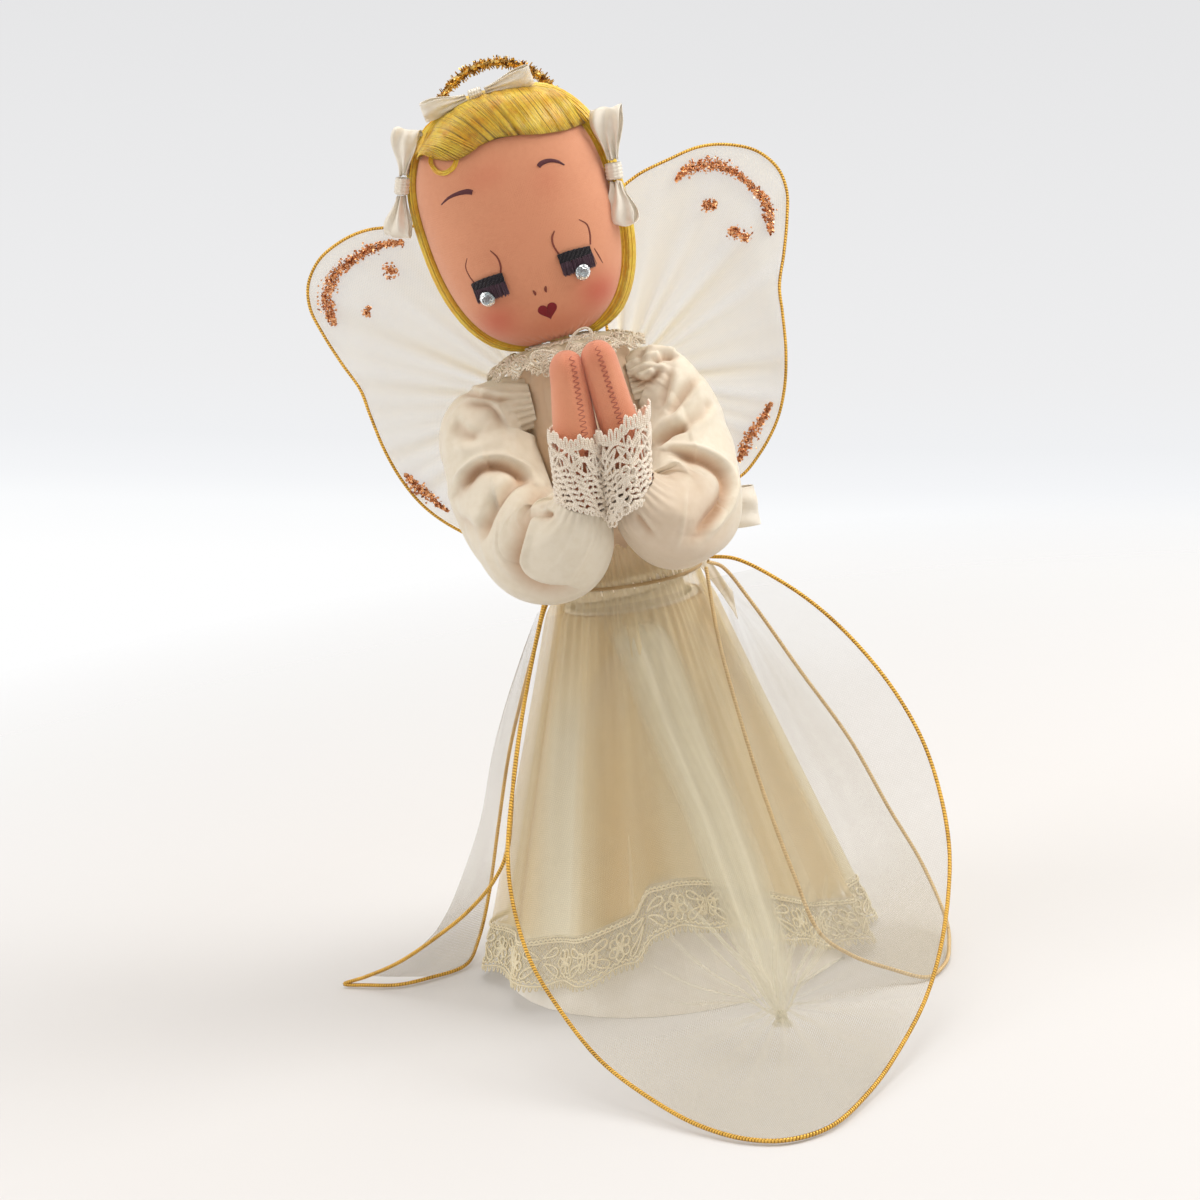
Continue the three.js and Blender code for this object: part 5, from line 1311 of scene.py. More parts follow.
# Height of a fold at front-view places: an uneven valley or ridge that fades at its ends, with a lip on the steep side.
def foldHeight(x, z, points, steep, gentle, height):
    line = along(pathThrough(np.column_stack([np.array(points), np.zeros(len(points))])), np.linspace(0, 1, 70))[:, :2]
    away = np.stack([x, z], axis=-1)[..., None, :] - line
    distance = np.hypot(away[..., 0], away[..., 1])
    nearest = distance.argmin(axis=-1)
    heading = unit(np.gradient(line, axis=0))[nearest]
    off = np.take_along_axis(away, nearest[..., None, None], axis=-2)[..., 0, :]
    signed = heading[..., 0] * off[..., 1] - heading[..., 1] * off[..., 0]
    reach = np.take_along_axis(distance, nearest[..., None], axis=-1)[..., 0]
    share = nearest / (len(line) - 1)
    taper = np.clip(np.minimum(share, 1 - share) * 5 + 0.15, 0, 1) ** 0.7
    width = np.where(signed > 0, steep, gentle)
    lip = np.exp(-(((signed - 1.9 * steep) / (1.1 * steep)) ** 2)) * (reach < 5 * steep)
    return height * taper * (np.exp(-((reach / width) ** 2)) - 0.3 * lip)


def makeSleeve(name, side):
    rows, columns = 170, 150
    stations = np.array(sleeves[name]["stations"])
    path = pathThrough(stations[:, :3])
    shares = np.linspace(0, 1, rows)
    station = np.interp(shares * path[1][-1], path[1][::24][:len(stations)], np.arange(len(stations)))
    r = smoothProfile(np.interp(station, np.arange(len(stations)), stations[:, 3]), rows)[:, None]
    t = shares[:, None]
    a = (np.arange(columns) / columns * fullTurn)[None]
    centre, tangent, across, up = (value[:, None] for value in limbFrames(path, shares))
    radial = np.cos(a)[..., None] * across + np.sin(a)[..., None] * up
    middle = smoothStep(0.0, 0.12, t) * smoothStep(1.0, 0.9, t)
    soft = 0.75 * ripples(60 + side, 6, 3 * a, 11 * t) + 0.4 * ripples(64 + side, 5, 6 * a, 20 * t)
    # thin soft creases along the lines where a slow wave passes 0
    level = ripples(68 + side, 5, 2.2 * a, 7 * t)
    soft = soft + 0.34 * np.exp(-((level / 0.14) ** 2))
    gathers = 0.5 * np.cos(20 * a + 2 * np.sin(3 * a)) * smoothStep(0.16, 0.03, t)
    gathers = gathers + 0.15 * np.cos(21 * a + 2 * np.sin(2 * a)) * smoothStep(0.88, 0.97, t)
    bare = centre + (r + soft * middle + gathers)[..., None] * radial
    # the folds are seen from the front: height by (x, z) as the eye meets them, only where the cloth faces it
    x, z = bare[..., 0] + 0.013 * (bare[..., 1] + 24), bare[..., 2] + 0.14 * (bare[..., 1] + 24)
    facing = smoothStep(-0.1, 0.35, -radial[..., 1] + 0.14 * radial[..., 2])
    folds = sum(foldHeight(x, z, *fold) for fold in sleeves[name]["folds"]) * facing
    behind = sum(crease(t, a, *line) for line in creases) * (1 - facing)
    points = bare + (folds + behind)[..., None] * radial
    # painted shade on the right forearm, which lies in the hands' shade, with some skin showing through the satin
    forearmShade = 0.3 * smoothStep(0.62, 0.8, t) * (side > 0)
    # the fold mark is painted warm shade: in the valleys of the front folds, in the creases behind, and on the right
    # forearm
    paintedShade = np.clip(forearmShade - 0.26 * folds - 0.08 * behind, 0, 0.7)
    length = np.concatenate([[0], np.cumsum(np.linalg.norm(np.diff(points[:, 0], axis=0), axis=-1))])
    uvGrid = np.stack(np.broadcast_arrays((np.arange(columns + 1) / columns * 70)[None], length[:, None]), -1)
    shape = gridShape(points, uvGrid, wrapColumns=True, marks={"fold": paintedShade + 0 * points[..., 0]})
    made = piece(f"{name}_sleeve_satin", moved(shape, fromUpper), materials["satin"], "doll",
                 [f"{name}_sleeve"], thickness=0.22)


hands = {"left": {"path": [(-2.6, -40.4, 47), (-0.5, -41.6, 65.2)], "seam": 0.42, "root": 1.08, "tip": 0.86},
         "right": {"path": [(7.5, -40.4, 47), (6.4, -41.6, 65.8)], "seam": 0.12, "root": 0.96, "tip": 0.87}}


def makeArm(name, side):
    points = np.vstack([limbPoints(side, 30.0), *hands[name]["path"]])
    path = pathThrough(points)
    rows, columns = 150, 64
    t = np.linspace(0, 1, rows)
    t = 1 - (1 - t) ** 1.25
    centre, tangent, across, up = limbFrames(path, t)
    length = path[1][-1]
    fromTip = np.clip((1 - t) * length / 5.0, 0, 1)
    round_ = np.sqrt(np.clip(1 - (1 - fromTip) ** 2, 0, 1)) * 0.985 + 0.015
    fromTop = np.clip(t * length / 3.0, 0, 1)
    round_ = round_ * (np.sqrt(np.clip(1 - (1 - fromTop) ** 2, 0, 1)) * 0.9 + 0.1)
    hand = smoothStep(0.68, 0.80, t)
    a = (np.arange(columns) / columns * fullTurn)[None]
    swell = lerp(hands[name]["root"], hands[name]["tip"], smoothStep(0.8, 0.97, t))
    deep = (lerp(3.7, 5.1 * swell, hand) * round_)[:, None]
    wide = (lerp(3.7, 4.85 * swell, hand) * round_)[:, None]
    seam = hands[name]["seam"]
    groove = np.exp(-((np.angle(np.exp(1j * (a - seam))) / 0.1) ** 2)) * (0.07 * hand * round_)[:, None]
    dimples = 0.12 * ripples(80 + side, 5, 4 * a, 30 * t[:, None]) * hand[:, None]
    points = centre[:, None] + ((deep - groove + dimples) * np.cos(a))[..., None] * across[:, None] \
        + ((wide - groove + dimples) * np.sin(a))[..., None] * up[:, None]
    # blush at the tips, a trace of painted shade in the seam groove, and an uneven tint
    blush = np.clip(0.3 * smoothStep(0.9, 1.0, t)[:, None] + 0.3 * groove + 0.12 * ripples(83 + side, 4, 3 * a, 22 * t[:, None]), 0, 0.8)
    uvGrid = np.stack(np.broadcast_arrays((np.arange(columns + 1) / columns * 28)[None], (t * length)[:, None]), -1)
    shape = gridShape(points, uvGrid, wrapColumns=True, capEnds=True, outward=True, marks={"blush": blush + 0 * points[..., 0]})
    made = piece(f"{name}_arm_stuffed", moved(shape, fromUpper), materials["hand"], "doll", [f"{name}_arm"])
    # zigzag stitches along the hand's front seam, over the tip
    steps = np.linspace(0.745, 0.985, 42)
    zig = []
    for k, at in enumerate(steps):
        pair = np.array([at, at + 0.0045])
        lean = np.array([-1, 1]) * (0.16 if k % 2 else -0.16)
        c2, t2, ac2, up2 = limbFrames(path, pair)
        tip = np.clip((1 - pair) * length / 5.0, 0, 1)
        ends = np.sqrt(np.clip(1 - (1 - tip) ** 2, 0, 1))
        ends = ends * lerp(hands[name]["root"], hands[name]["tip"], smoothStep(0.8, 0.97, pair))
        p = c2 + ((5.1 * ends + 0.04) * np.cos(seam + lean))[:, None] * ac2 + ((4.85 * ends + 0.04) * np.sin(seam + lean))[:, None] * up2
        zig.append(lerp(p[0], p[1], np.linspace(0, 1, 4)[:, None]))
    sewn = threadShape(np.array(zig), (0, -1.0, 0), 0.12, sides=5)
    piece(f"{name}_hand_stitches", moved(sewn, fromUpper), materials["stitch"], "doll")


# Cuff: an oval tube round the wrist. At height share t its middle x and half width run from low to high; its lower and
# upper edges are (level, rise towards +x). (angle, height) -> point and outward normal.
cuff = {"height": 17.0, "depth": 6.9,
        "left": {"middle": (-5.2, -2.9), "half": (5.8, 5.6), "low": (28.3, -3.3), "high": (46.9, -2.2)},
        "right": {"middle": (4.9, 8.2), "half": (6.2, 7.4), "low": (26.0, 1.2), "high": (47.9, 1.9)}}


def cuffPoint(side, angle, height, out=0.0):
    form = cuff["left" if side < 0 else "right"]
    t = height / cuff["height"]
    wide = lerp(*form["half"], t) + out
    deep = cuff["depth"] + 0.6 * t + out
    x = lerp(*form["middle"], t) + wide * np.cos(angle)
    y = -lerp(37.6, 40.6, t) + deep * np.sin(angle)
    low, high = (form[key][0] + form[key][1] * np.cos(angle) for key in ("low", "high"))
    points = np.stack(np.broadcast_arrays(x, y, lerp(low, high, t)), axis=-1)
    return points, np.stack([np.cos(angle), np.sin(angle), 0 * angle], axis=-1)


def makeCuff(name, side):
    a = (np.arange(220) / 220 * fullTurn)[None]
    shapes = []
    # seven wavy cords low down, three looser ones above, and a top cord that rises in scallops
    rows = np.arange(7)[:, None]
    low = 0.5 + rows * 1.15 + 0.28 * np.sin(9 * a + rows * 0.9) + 0.16 * np.sin(23 * a + 2.1 * rows)
    upper = 8.9 + np.arange(3)[:, None] * 1.55 + 0.75 * np.sin(6 * a + np.arange(3)[:, None] * np.pi)
    top = 13.6 + 0.55 * np.cos(5 * a) + 0.2 * np.cos(24 * a)
    lines = np.concatenate([low, upper, top])
    points, normals = cuffPoint(side, a + 0 * lines, lines, 0.1 * np.sin(13 * a))
    shapes.append(threadShape(points, normals, 0.46, sides=6, closed=True))
    # upright bars tie the cords
    bars = []
    for k in range(30):
        at = k / 30 * fullTurn
        h = np.linspace(0.4 if k % 2 else 2.6, 13.4 if k % 3 else 10.0, 20)
        bars.append(np.stack([at + 0.05 * np.sin(h + k), h], -1))
    bars = np.array(bars)
    points, normals = cuffPoint(side, bars[..., 0], bars[..., 1], -0.12)
    shapes.append(threadShape(points, normals, 0.24, sides=5))
    # narrow upright picot loops stand on the top cord, small ones hang from the lowest
    loops = []
    t = np.arange(16) / 16 * fullTurn
    for k in range(36):
        at = k / 36 * fullTurn
        base = 13.6 + 0.55 * np.cos(5 * at)
        tall = 2.4 + 0.5 * np.sin(2.3 * k)
        loops.append(np.stack([at + 0.055 * np.sin(t) + 0.02 * np.sin(k) * (1 - np.cos(t)), base + tall * (0.5 - 0.5 * np.cos(t)) - 0.2], -1))
    for k in range(30):
        at = k / 30 * fullTurn
        loops.append(np.stack([at + 0.06 * np.sin(t), 0.4 - 0.9 * (0.5 - 0.5 * np.cos(t))], -1))
    # leaves and small rosettes between the upper cords
    for k in range(7):
        at = (k + 0.5 * (side > 0)) / 7 * fullTurn
        loops += [np.stack([at + leaf[:, 0] / 6.2, leaf[:, 1]], -1) for leaf in (
            leafLoop(0, 8.6, 4.2, 0.9, 0.9, 16), leafLoop(0, 8.6, 4.2, 0.9, 2.2, 16), leafLoop(0, 9.6, 3.4, 0.8, 1.57, 16))]
    loops = np.array(loops)
    points, normals = cuffPoint(side, loops[..., 0], loops[..., 1], 0.28)
    shapes.append(threadShape(points, normals, 0.3, sides=5, closed=True))
    if side > 0:
        # the lace's lower corner hangs in front of the wrists with two rosettes
        rosettes = [np.stack([f[:, 0], f[:, 1]], -1) for cx, ch, size in ((-1.85, 1.6, 2.6), (-1.55, 5.6, 2.3), (-2.2, -0.4, 1.7))
                    for f in flowerLoops(0, 0, size, petals=6, steps=16, turn=cx) + flowerLoops(0, 0, size * 0.45, petals=4, steps=16)
                    for f in [f + np.array([cx * 6.2, ch])]]
        rosettes = np.array(rosettes)
        points, normals = cuffPoint(side, rosettes[..., 0] / 6.2, rosettes[..., 1], 0.65)
        shapes.append(threadShape(points, normals, 0.3, sides=5, closed=True))
    piece(f"{name}_cuff_lace", moved(joinShapes(*shapes), fromUpper), materials["cuffThread"], "doll", [f"{name}_cuff"])


for handName, handSide in (("left", -1), ("right", 1)):
    makeArm(handName, handSide)
    makeSleeve(handName, handSide)
    makeCuff(handName, handSide)
print("sleeves, hands and cuffs made")


# Head: a superellipsoid; (latitude, angle, offset) -> point, angle 0 at the middle of the face, and its face as (u, w)
head = {"centre": 38.7, "halfWidth": 22.4, "lowHalf": 32.6, "highHalf": 25.6, "halfDepth": 17.0, "power": 2.5,
        "girth": 2.3, "maskOut": 1.2, "hairOut": 3.9}


def power(value, exponent):
    return np.sign(value) * np.abs(value) ** exponent


def headPoint(latitude, angle, offset):
    girth = np.cos(latitude) ** (2 / head["power"])
    half = np.where(latitude < 0, head["lowHalf"], head["highHalf"])
    return np.stack(np.broadcast_arrays(
        (head["halfWidth"] + offset) * girth * power(np.sin(angle), 2 / head["girth"]),
        -(head["halfDepth"] + offset) * girth * power(np.cos(angle), 2 / head["girth"]),
        head["centre"] + (half + offset) * power(np.sin(latitude), 2 / head["power"])), axis=-1)


# A point on the front of the head at a side u and height w from its centre, and the way out of the face there.
def facePoint(u, w, offset):
    half = np.where(w < 0, head["lowHalf"], head["highHalf"]) + offset
    girth = np.clip(1 - np.abs(w / half) ** head["power"], 1e-4, 1) ** (1 / head["power"])
    share = np.clip(np.abs(u / ((head["halfWidth"] + offset) * girth)), 0, 1)
    depth = (head["halfDepth"] + offset) * girth * np.clip(1 - share ** head["girth"], 0, 1) ** (1 / head["girth"])
    return np.stack(np.broadcast_arrays(u, -depth, head["centre"] + w), axis=-1)


def faceNormal(u, w, offset=1.2):
    right = facePoint(u + 0.15, w, offset) - facePoint(u - 0.15, w, offset)
    up = facePoint(u, w + 0.15, offset) - facePoint(u, w - 0.15, offset)
    return unit(np.cross(right, up))


# A closed skin between two offsets of the head over a patch of latitudes and angles.
def headPatch(rows, columns, latitudes, angles, inner, outer, relief=None, blush=None):
    latitude = np.linspace(*latitudes, rows)[:, None]
    angle = np.linspace(*angles, columns)[None]
    raised = outer + (0 if relief is None else relief(latitude, angle))
    front = headPoint(latitude, angle, raised + 0 * latitude * angle)
    back = headPoint(latitude, angle, inner + 0 * latitude * angle)
    ringPoints = np.concatenate([front, back[:, ::-1]], axis=1)
    u = np.concatenate([np.linspace(0, 80, columns), np.linspace(80, 160, columns)])
    uvGrid = np.stack(np.broadcast_arrays(np.append(u, 161.0)[None], np.linspace(0, 66, rows)[:, None]), -1)
    marks = None
    if blush is not None:
        tint = blush(front)
        marks = {"blush": np.concatenate([tint, tint[:, ::-1]], axis=1)}
    return gridShape(ringPoints, uvGrid, wrapColumns=True, capEnds=True, outward=True, marks=marks)


def makeHead():
    latitude = np.linspace(-np.pi / 2 + 0.02, np.pi / 2 - 0.02, 60)[:, None]
    angle = (np.arange(96) / 96 * fullTurn)[None]
    core = headPoint(latitude, angle, -0.1 + 0 * latitude * angle)
    uvGrid = np.stack(np.broadcast_arrays((np.arange(97) / 96 * 130)[None], np.linspace(0, 70, 60)[:, None]), -1)
    made = piece("head_stuffed", moved(gridShape(core, uvGrid, wrapColumns=True, capEnds=True, outward=True), fromHead),
                 materials["stuffing"], "head", ["head_core"])

    # the stockinette puckers a little round the chin where it is drawn under, and dimples softly over the stuffing
    def relief(latitude, angle):
        pucker = 0.16 * np.cos(44 * angle + 2 * np.sin(7 * angle)) * smoothStep(-1.0, -1.3, latitude)
        return pucker + 0.1 * ripples(5, 6, 4 * latitude, 3 * angle) - 0.12 * np.exp(-((angle / 0.35) ** 2 + ((latitude + 0.1) / 0.4) ** 2))

    # blush on both cheeks, two faint warm marks on the forehead, and painted shade on the chin and softly over the
    # middle of the face
    def blush(front):
        u, w = front[..., 0], front[..., 2] - head["centre"]
        face = np.where(front[..., 1] < 0, 1.0, 0.0)
        total = 0
        for bu, bw, wide, tall, strength in ((-12.7, -24.4, 5.2, 4.4, 0.62), (13.0, -24.6, 5.2, 4.4, 0.7), (0, -30, 12, 3.5, 0.3),
                                             (-5, 9.5, 6, 3.4, 0.2), (9, 4.5, 4, 4, 0.14), (0, -2, 12, 14, 0.1)):
            total = total + strength * np.exp(-(((u - bu) / wide) ** 2 + ((w - bw) / tall) ** 2))
        return np.clip(total * face, 0, 0.85)

    mask = headPatch(132, 164, np.radians((-76, 60)), np.radians((-98, 98)), 0.35, head["maskOut"], relief, blush)
    made = piece("face_stockinette", moved(mask, fromHead), materials["skin"], "head", ["face_mask"])


# Painted marks: thin strips sunk in the face, thick and thin along their length; lines are (u, w, half width).
faceMarks = {
    "brow": [[(-16.9, 6.4, 0.16), (-14.6, 7.4, 0.34), (-11.9, 7.7, 0.5), (-9.6, 7.4, 0.66), (-8.7, 6.9, 0.6)],
             [(8.2, 7.9, 0.55), (9.0, 8.4, 0.6), (10.9, 8.5, 0.5), (12.8, 7.7, 0.38), (14.2, 6.4, 0.18)]],
    "lid": [[(-14.9, -7.5, 0.1), (-15.9, -9.4, 0.16), (-15.8, -11.5, 0.18), (-15.0, -14.0, 0.2)],
            [(-8.9, -7.4, 0.12), (-7.8, -9.4, 0.2), (-7.7, -11.6, 0.24), (-8.4, -13.7, 0.22)],
            [(7.2, -7.6, 0.14), (6.2, -8.9, 0.24), (5.9, -10.7, 0.24), (6.6, -13.6, 0.22)],
            [(13.6, -6.9, 0.12), (15.0, -8.5, 0.2), (15.1, -10.7, 0.24), (14.4, -13.4, 0.22)],
            [(15.0, -14.6, 0.12), (15.5, -16.6, 0.18), (15.9, -18.6, 0.1)],
            [(-2.2, -19.6, 0.1), (-2.0, -19.9, 0.28), (-1.85, -20.5, 0.3), (-2.0, -20.9, 0.1)],
            [(1.2, -19.5, 0.1), (1.0, -19.8, 0.3), (0.8, -20.5, 0.32), (0.9, -21.0, 0.1)]],
}


def faceStroke(line, steps=40):
    line = np.array(line)
    path = pathThrough(np.column_stack([line[:, 0], line[:, 1], line[:, 2]]))
    at = along(path, np.linspace(0, 1, steps))
    paths = facePoint(at[:, 0], at[:, 1], head["maskOut"] + 0.02)
    normals = faceNormal(at[:, 0], at[:, 1])
    return threadShape(paths[None], normals[None], at[None, :, 2], sides=10, flatten=0.32)


# Lashes: a felt strip across each eye with a gauzy fringe under it and a glass stone set at its lower edge.
lash = {"middle": {"left": -11.9, "right": 10.1}, "half": 4.1, "top": -13.5, "felt": 2.4, "fringe": 2.9, "stone": 1.95}
stones = {"left": (-13.0, -18.1), "right": (10.5, -18.9)}


def makeFace():
    for name, lines in faceMarks.items():
        piece(f"face_{name}_paint", moved(joinShapes(*[faceStroke(line) for line in lines]), fromHead), materials[name], "head")
    for name, side in (("left", -1), ("right", 1)):
        s = np.linspace(-1, 1, 40)[None]
        t = np.linspace(0, 1, 16)[:, None]
        middle, tilt = lash["middle"][name], -0.05
        rough = 0.06 * np.sin(19 * s + side) + 0.05 * np.sin(41 * s)
        u = middle + lash["half"] * s * (1 - 0.02 * t) + 0.05 * np.sin(9 * t + 3) + 0 * s
        w = lash["top"] + tilt * lash["half"] * s * side - lash["felt"] * t + rough * np.abs(2 * t - 1) + 0.28 * (1 - s**2)
        lower, upper = facePoint(u, w, head["maskOut"] + 0.08), facePoint(u, w, head["maskOut"] + 0.62 + 0.05 * np.sin(23 * s + 11 * t))
        ringPoints = np.concatenate([upper, lower[:, ::-1]], axis=1)
        uvGrid = np.stack(np.broadcast_arrays(np.linspace(0, 16, 81)[None], (t * 2.5)), -1)
        felt = gridShape(ringPoints, uvGrid, wrapColumns=True, capEnds=True, outward=True)
        made = piece(f"{name}_lash_felt", moved(felt, fromHead), materials["felt"], "head", [f"{name}_lash"], smooth=False)
        picker = np.random.default_rng(90 + side)
        count = 120
        root = np.sort(picker.uniform(-1, 1, count))
        q = np.linspace(0, 1, 9)[None]
        spread = picker.normal(0, 0.18, (count, 1))
        u = middle + lash["half"] * root[:, None] * 0.98 + spread * q
        w = lash["top"] - lash["felt"] * 0.8 - (lash["fringe"] * picker.uniform(0.82, 1.05, (count, 1)) + 0.5) * q
        lift = head["maskOut"] + 0.32 + picker.uniform(0, 0.35, (count, 1)) + 0.5 * q**2 * picker.uniform(0.2, 1, (count, 1))
        paths, normals = facePoint(u, w, lift), faceNormal(u, w)
        hairs = threadShape(paths, normals, 0.14 * (1 - 0.5 * q) + 0 * u, sides=4)
        strips = moved(hairs, fromHead)
        piece(f"{name}_lash_fringe", strips, materials["fringe"], "head")
        # the gauze behind the fringe
        s = np.linspace(-1, 1, 30)[None]
        t = np.linspace(0, 1, 12)[:, None]
        u = middle + lash["half"] * s * 0.99 + 0 * t
        w = lash["top"] - lash["felt"] * 0.9 - (lash["fringe"] + 0.15 * np.sin(8 * s + side)) * t
        lower, upper = facePoint(u, w, head["maskOut"] + 0.12), facePoint(u, w, head["maskOut"] + 0.28)
        uvGrid = np.stack(np.broadcast_arrays(np.linspace(0, 16, 61)[None], (t * 3.5)), -1)
        gauze = gridShape(np.concatenate([upper, lower[:, ::-1]], axis=1), uvGrid, wrapColumns=True, capEnds=True, outward=True)
        piece(f"{name}_lash_gauze", moved(gauze, fromHead), materials["fringe"], "head")
        makeStone(name)
    makeMouth()


# A cut stone: girdle, a table and two rows of facets above, a foil cup under it.
def makeStone(name):
    u, w = stones[name]
    out = faceNormal(np.array(u), np.array(w))
    first = unit(np.cross(out, (0.0, 0.3, 1.0)))
    second = np.cross(out, first)
    base = facePoint(np.array(u), np.array(w), head["maskOut"] + 0.5)

    def turned(profile, sides, twist):
        rings = []
        for k, (radius, height) in enumerate(profile):
            a = (np.arange(sides) + twist * (k % 2) * 0.5) / sides * fullTurn
            rings.append(base + radius * (np.cos(a)[:, None] * first + np.sin(a)[:, None] * second) + height * out)
        points = np.array(rings)
        uvGrid = np.zeros((len(profile), sides + 1, 2))
        return gridShape(points, uvGrid, wrapColumns=True, capEnds=True, outward=True)

    r = lash["stone"]
    glass = turned([(0.25 * r, 0.12), (0.96 * r, 0.62), (r, 0.82), (0.82 * r, 1.25), (0.55 * r, 1.6)], 12, 1)
    piece(f"{name}_stone_glass", moved(glass, fromHead), materials["glass"], "head", [f"{name}_rhinestone"], smooth=False)
    foil = turned([(0.2 * r, -0.1), (0.99 * r, 0.45), (1.02 * r, 0.6), (0.94 * r, 0.52), (0.2 * r, 0.04)], 24, 0)
    piece(f"{name}_stone_foil", moved(foil, fromHead), materials["foil"], "head", smooth=False)


# The mouth: a small plump heart, |u| up to 2.2, two lobes above and one point below.
def makeMouth():
    a = (np.arange(64) / 64 * fullTurn)[None]
    q = np.linspace(0.02, 1, 14)[:, None]
    x = power(np.sin(a), 3.0) * 2.4
    y = (13 * np.cos(a) - 5 * np.cos(2 * a) - 2 * np.cos(3 * a) - np.cos(4 * a)) / 16 * 2.25
    u, w = x * q - 0.2, y * q - 25.4
    raised = head["maskOut"] + 0.03 + 0.22 * np.sqrt(np.clip(1 - q**2.4, 0, 1)) + 0 * a
    upper = facePoint(u, w, raised)
    lower = facePoint(u[-1:], w[-1:], head["maskOut"] - 0.15)
    points = np.concatenate([upper, lower])
    uvGrid = np.stack(np.broadcast_arrays(np.arange(65)[None] / 10, np.linspace(0, 3, 15)[:, None]), -1)
    piece("mouth_heart", moved(gridShape(points, uvGrid, wrapColumns=True, capEnds=True, outward=True), fromHead), materials["lips"],
          "head", ["mouth_patch"])


makeHead()
makeFace()
print("head and face made")


# Hair: combed floss. Each lock is a grooved base with strands over it; strands run from a start line to an end line.
def strandPaths(count, steps, seed, place, jitter):
    picker = np.random.default_rng(seed)
    share = np.sort(picker.uniform(0, 1, count))[:, None] + picker.normal(0, jitter, (count, 1))
    q = np.linspace(0, 1, steps)[None]
    lift = picker.uniform(0, 1, (count, 1))
    sway = picker.normal(0, 1, (count, 1)) * np.sin(np.pi * q) * jitter
    return place(share + sway, q, lift), share + sway, q


hair = {"strand": 0.17, "bangLift": 2.9}
# Bangs: start and end lines in (u, w), for the part that sweeps right and the lobe that rolls left
bangs = {
    "right": {"start": [(-15.5, 21.5), (-12, 25.2), (-6, 27.8), (0, 28.9), (6, 28.6), (12, 27.2), (18, 24.0)],
              "end": [(-7.5, 16.8), (-4.0, 16.8), (1, 17.4), (6, 16.4), (11.5, 14.9), (17, 14.1), (22.0, 14.4)], "bow": 3.4},
    "left": {"start": [(-13.0, 23.4), (-15.0, 22.6), (-16.8, 21.4), (-18.2, 20.0), (-19.2, 18.4)],
             "end": [(-4.2, 16.6), (-6.6, 15.8), (-9.4, 15.3), (-12.4, 15.9), (-15.4, 17.4)], "bow": 2.6},
}


def bangPoint(part, share, q, lift):
    share = np.clip(share, 0, 1)
    start, end = np.array(part["start"]), np.array(part["end"])
    su, sw = (np.interp(share, np.linspace(0, 1, len(start)), start[:, k]) for k in (0, 1))
    eu, ew = (np.interp(share, np.linspace(0, 1, len(end)), end[:, k]) for k in (0, 1))
    u = lerp(su, eu, q**1.25)
    w = lerp(sw, ew, q) + part["bow"] * np.sin(np.pi * q) * 0.5
    # full along the middle, tucked under at the lower edge
    bulge = hair["bangLift"] * np.sin(np.pi * np.clip(0.12 + 0.86 * q, 0, 1)) ** 0.6
    return u, w, head["maskOut"] + 0.35 + bulge + lift


# Points over the head from (u, w): the front inside the face's outline, and over the crown beyond it.
def crownPoint(u, w, offset):
    half = head["highHalf"] + offset
    w = np.minimum(w, half * 0.985)
    return facePoint(u, w, offset)


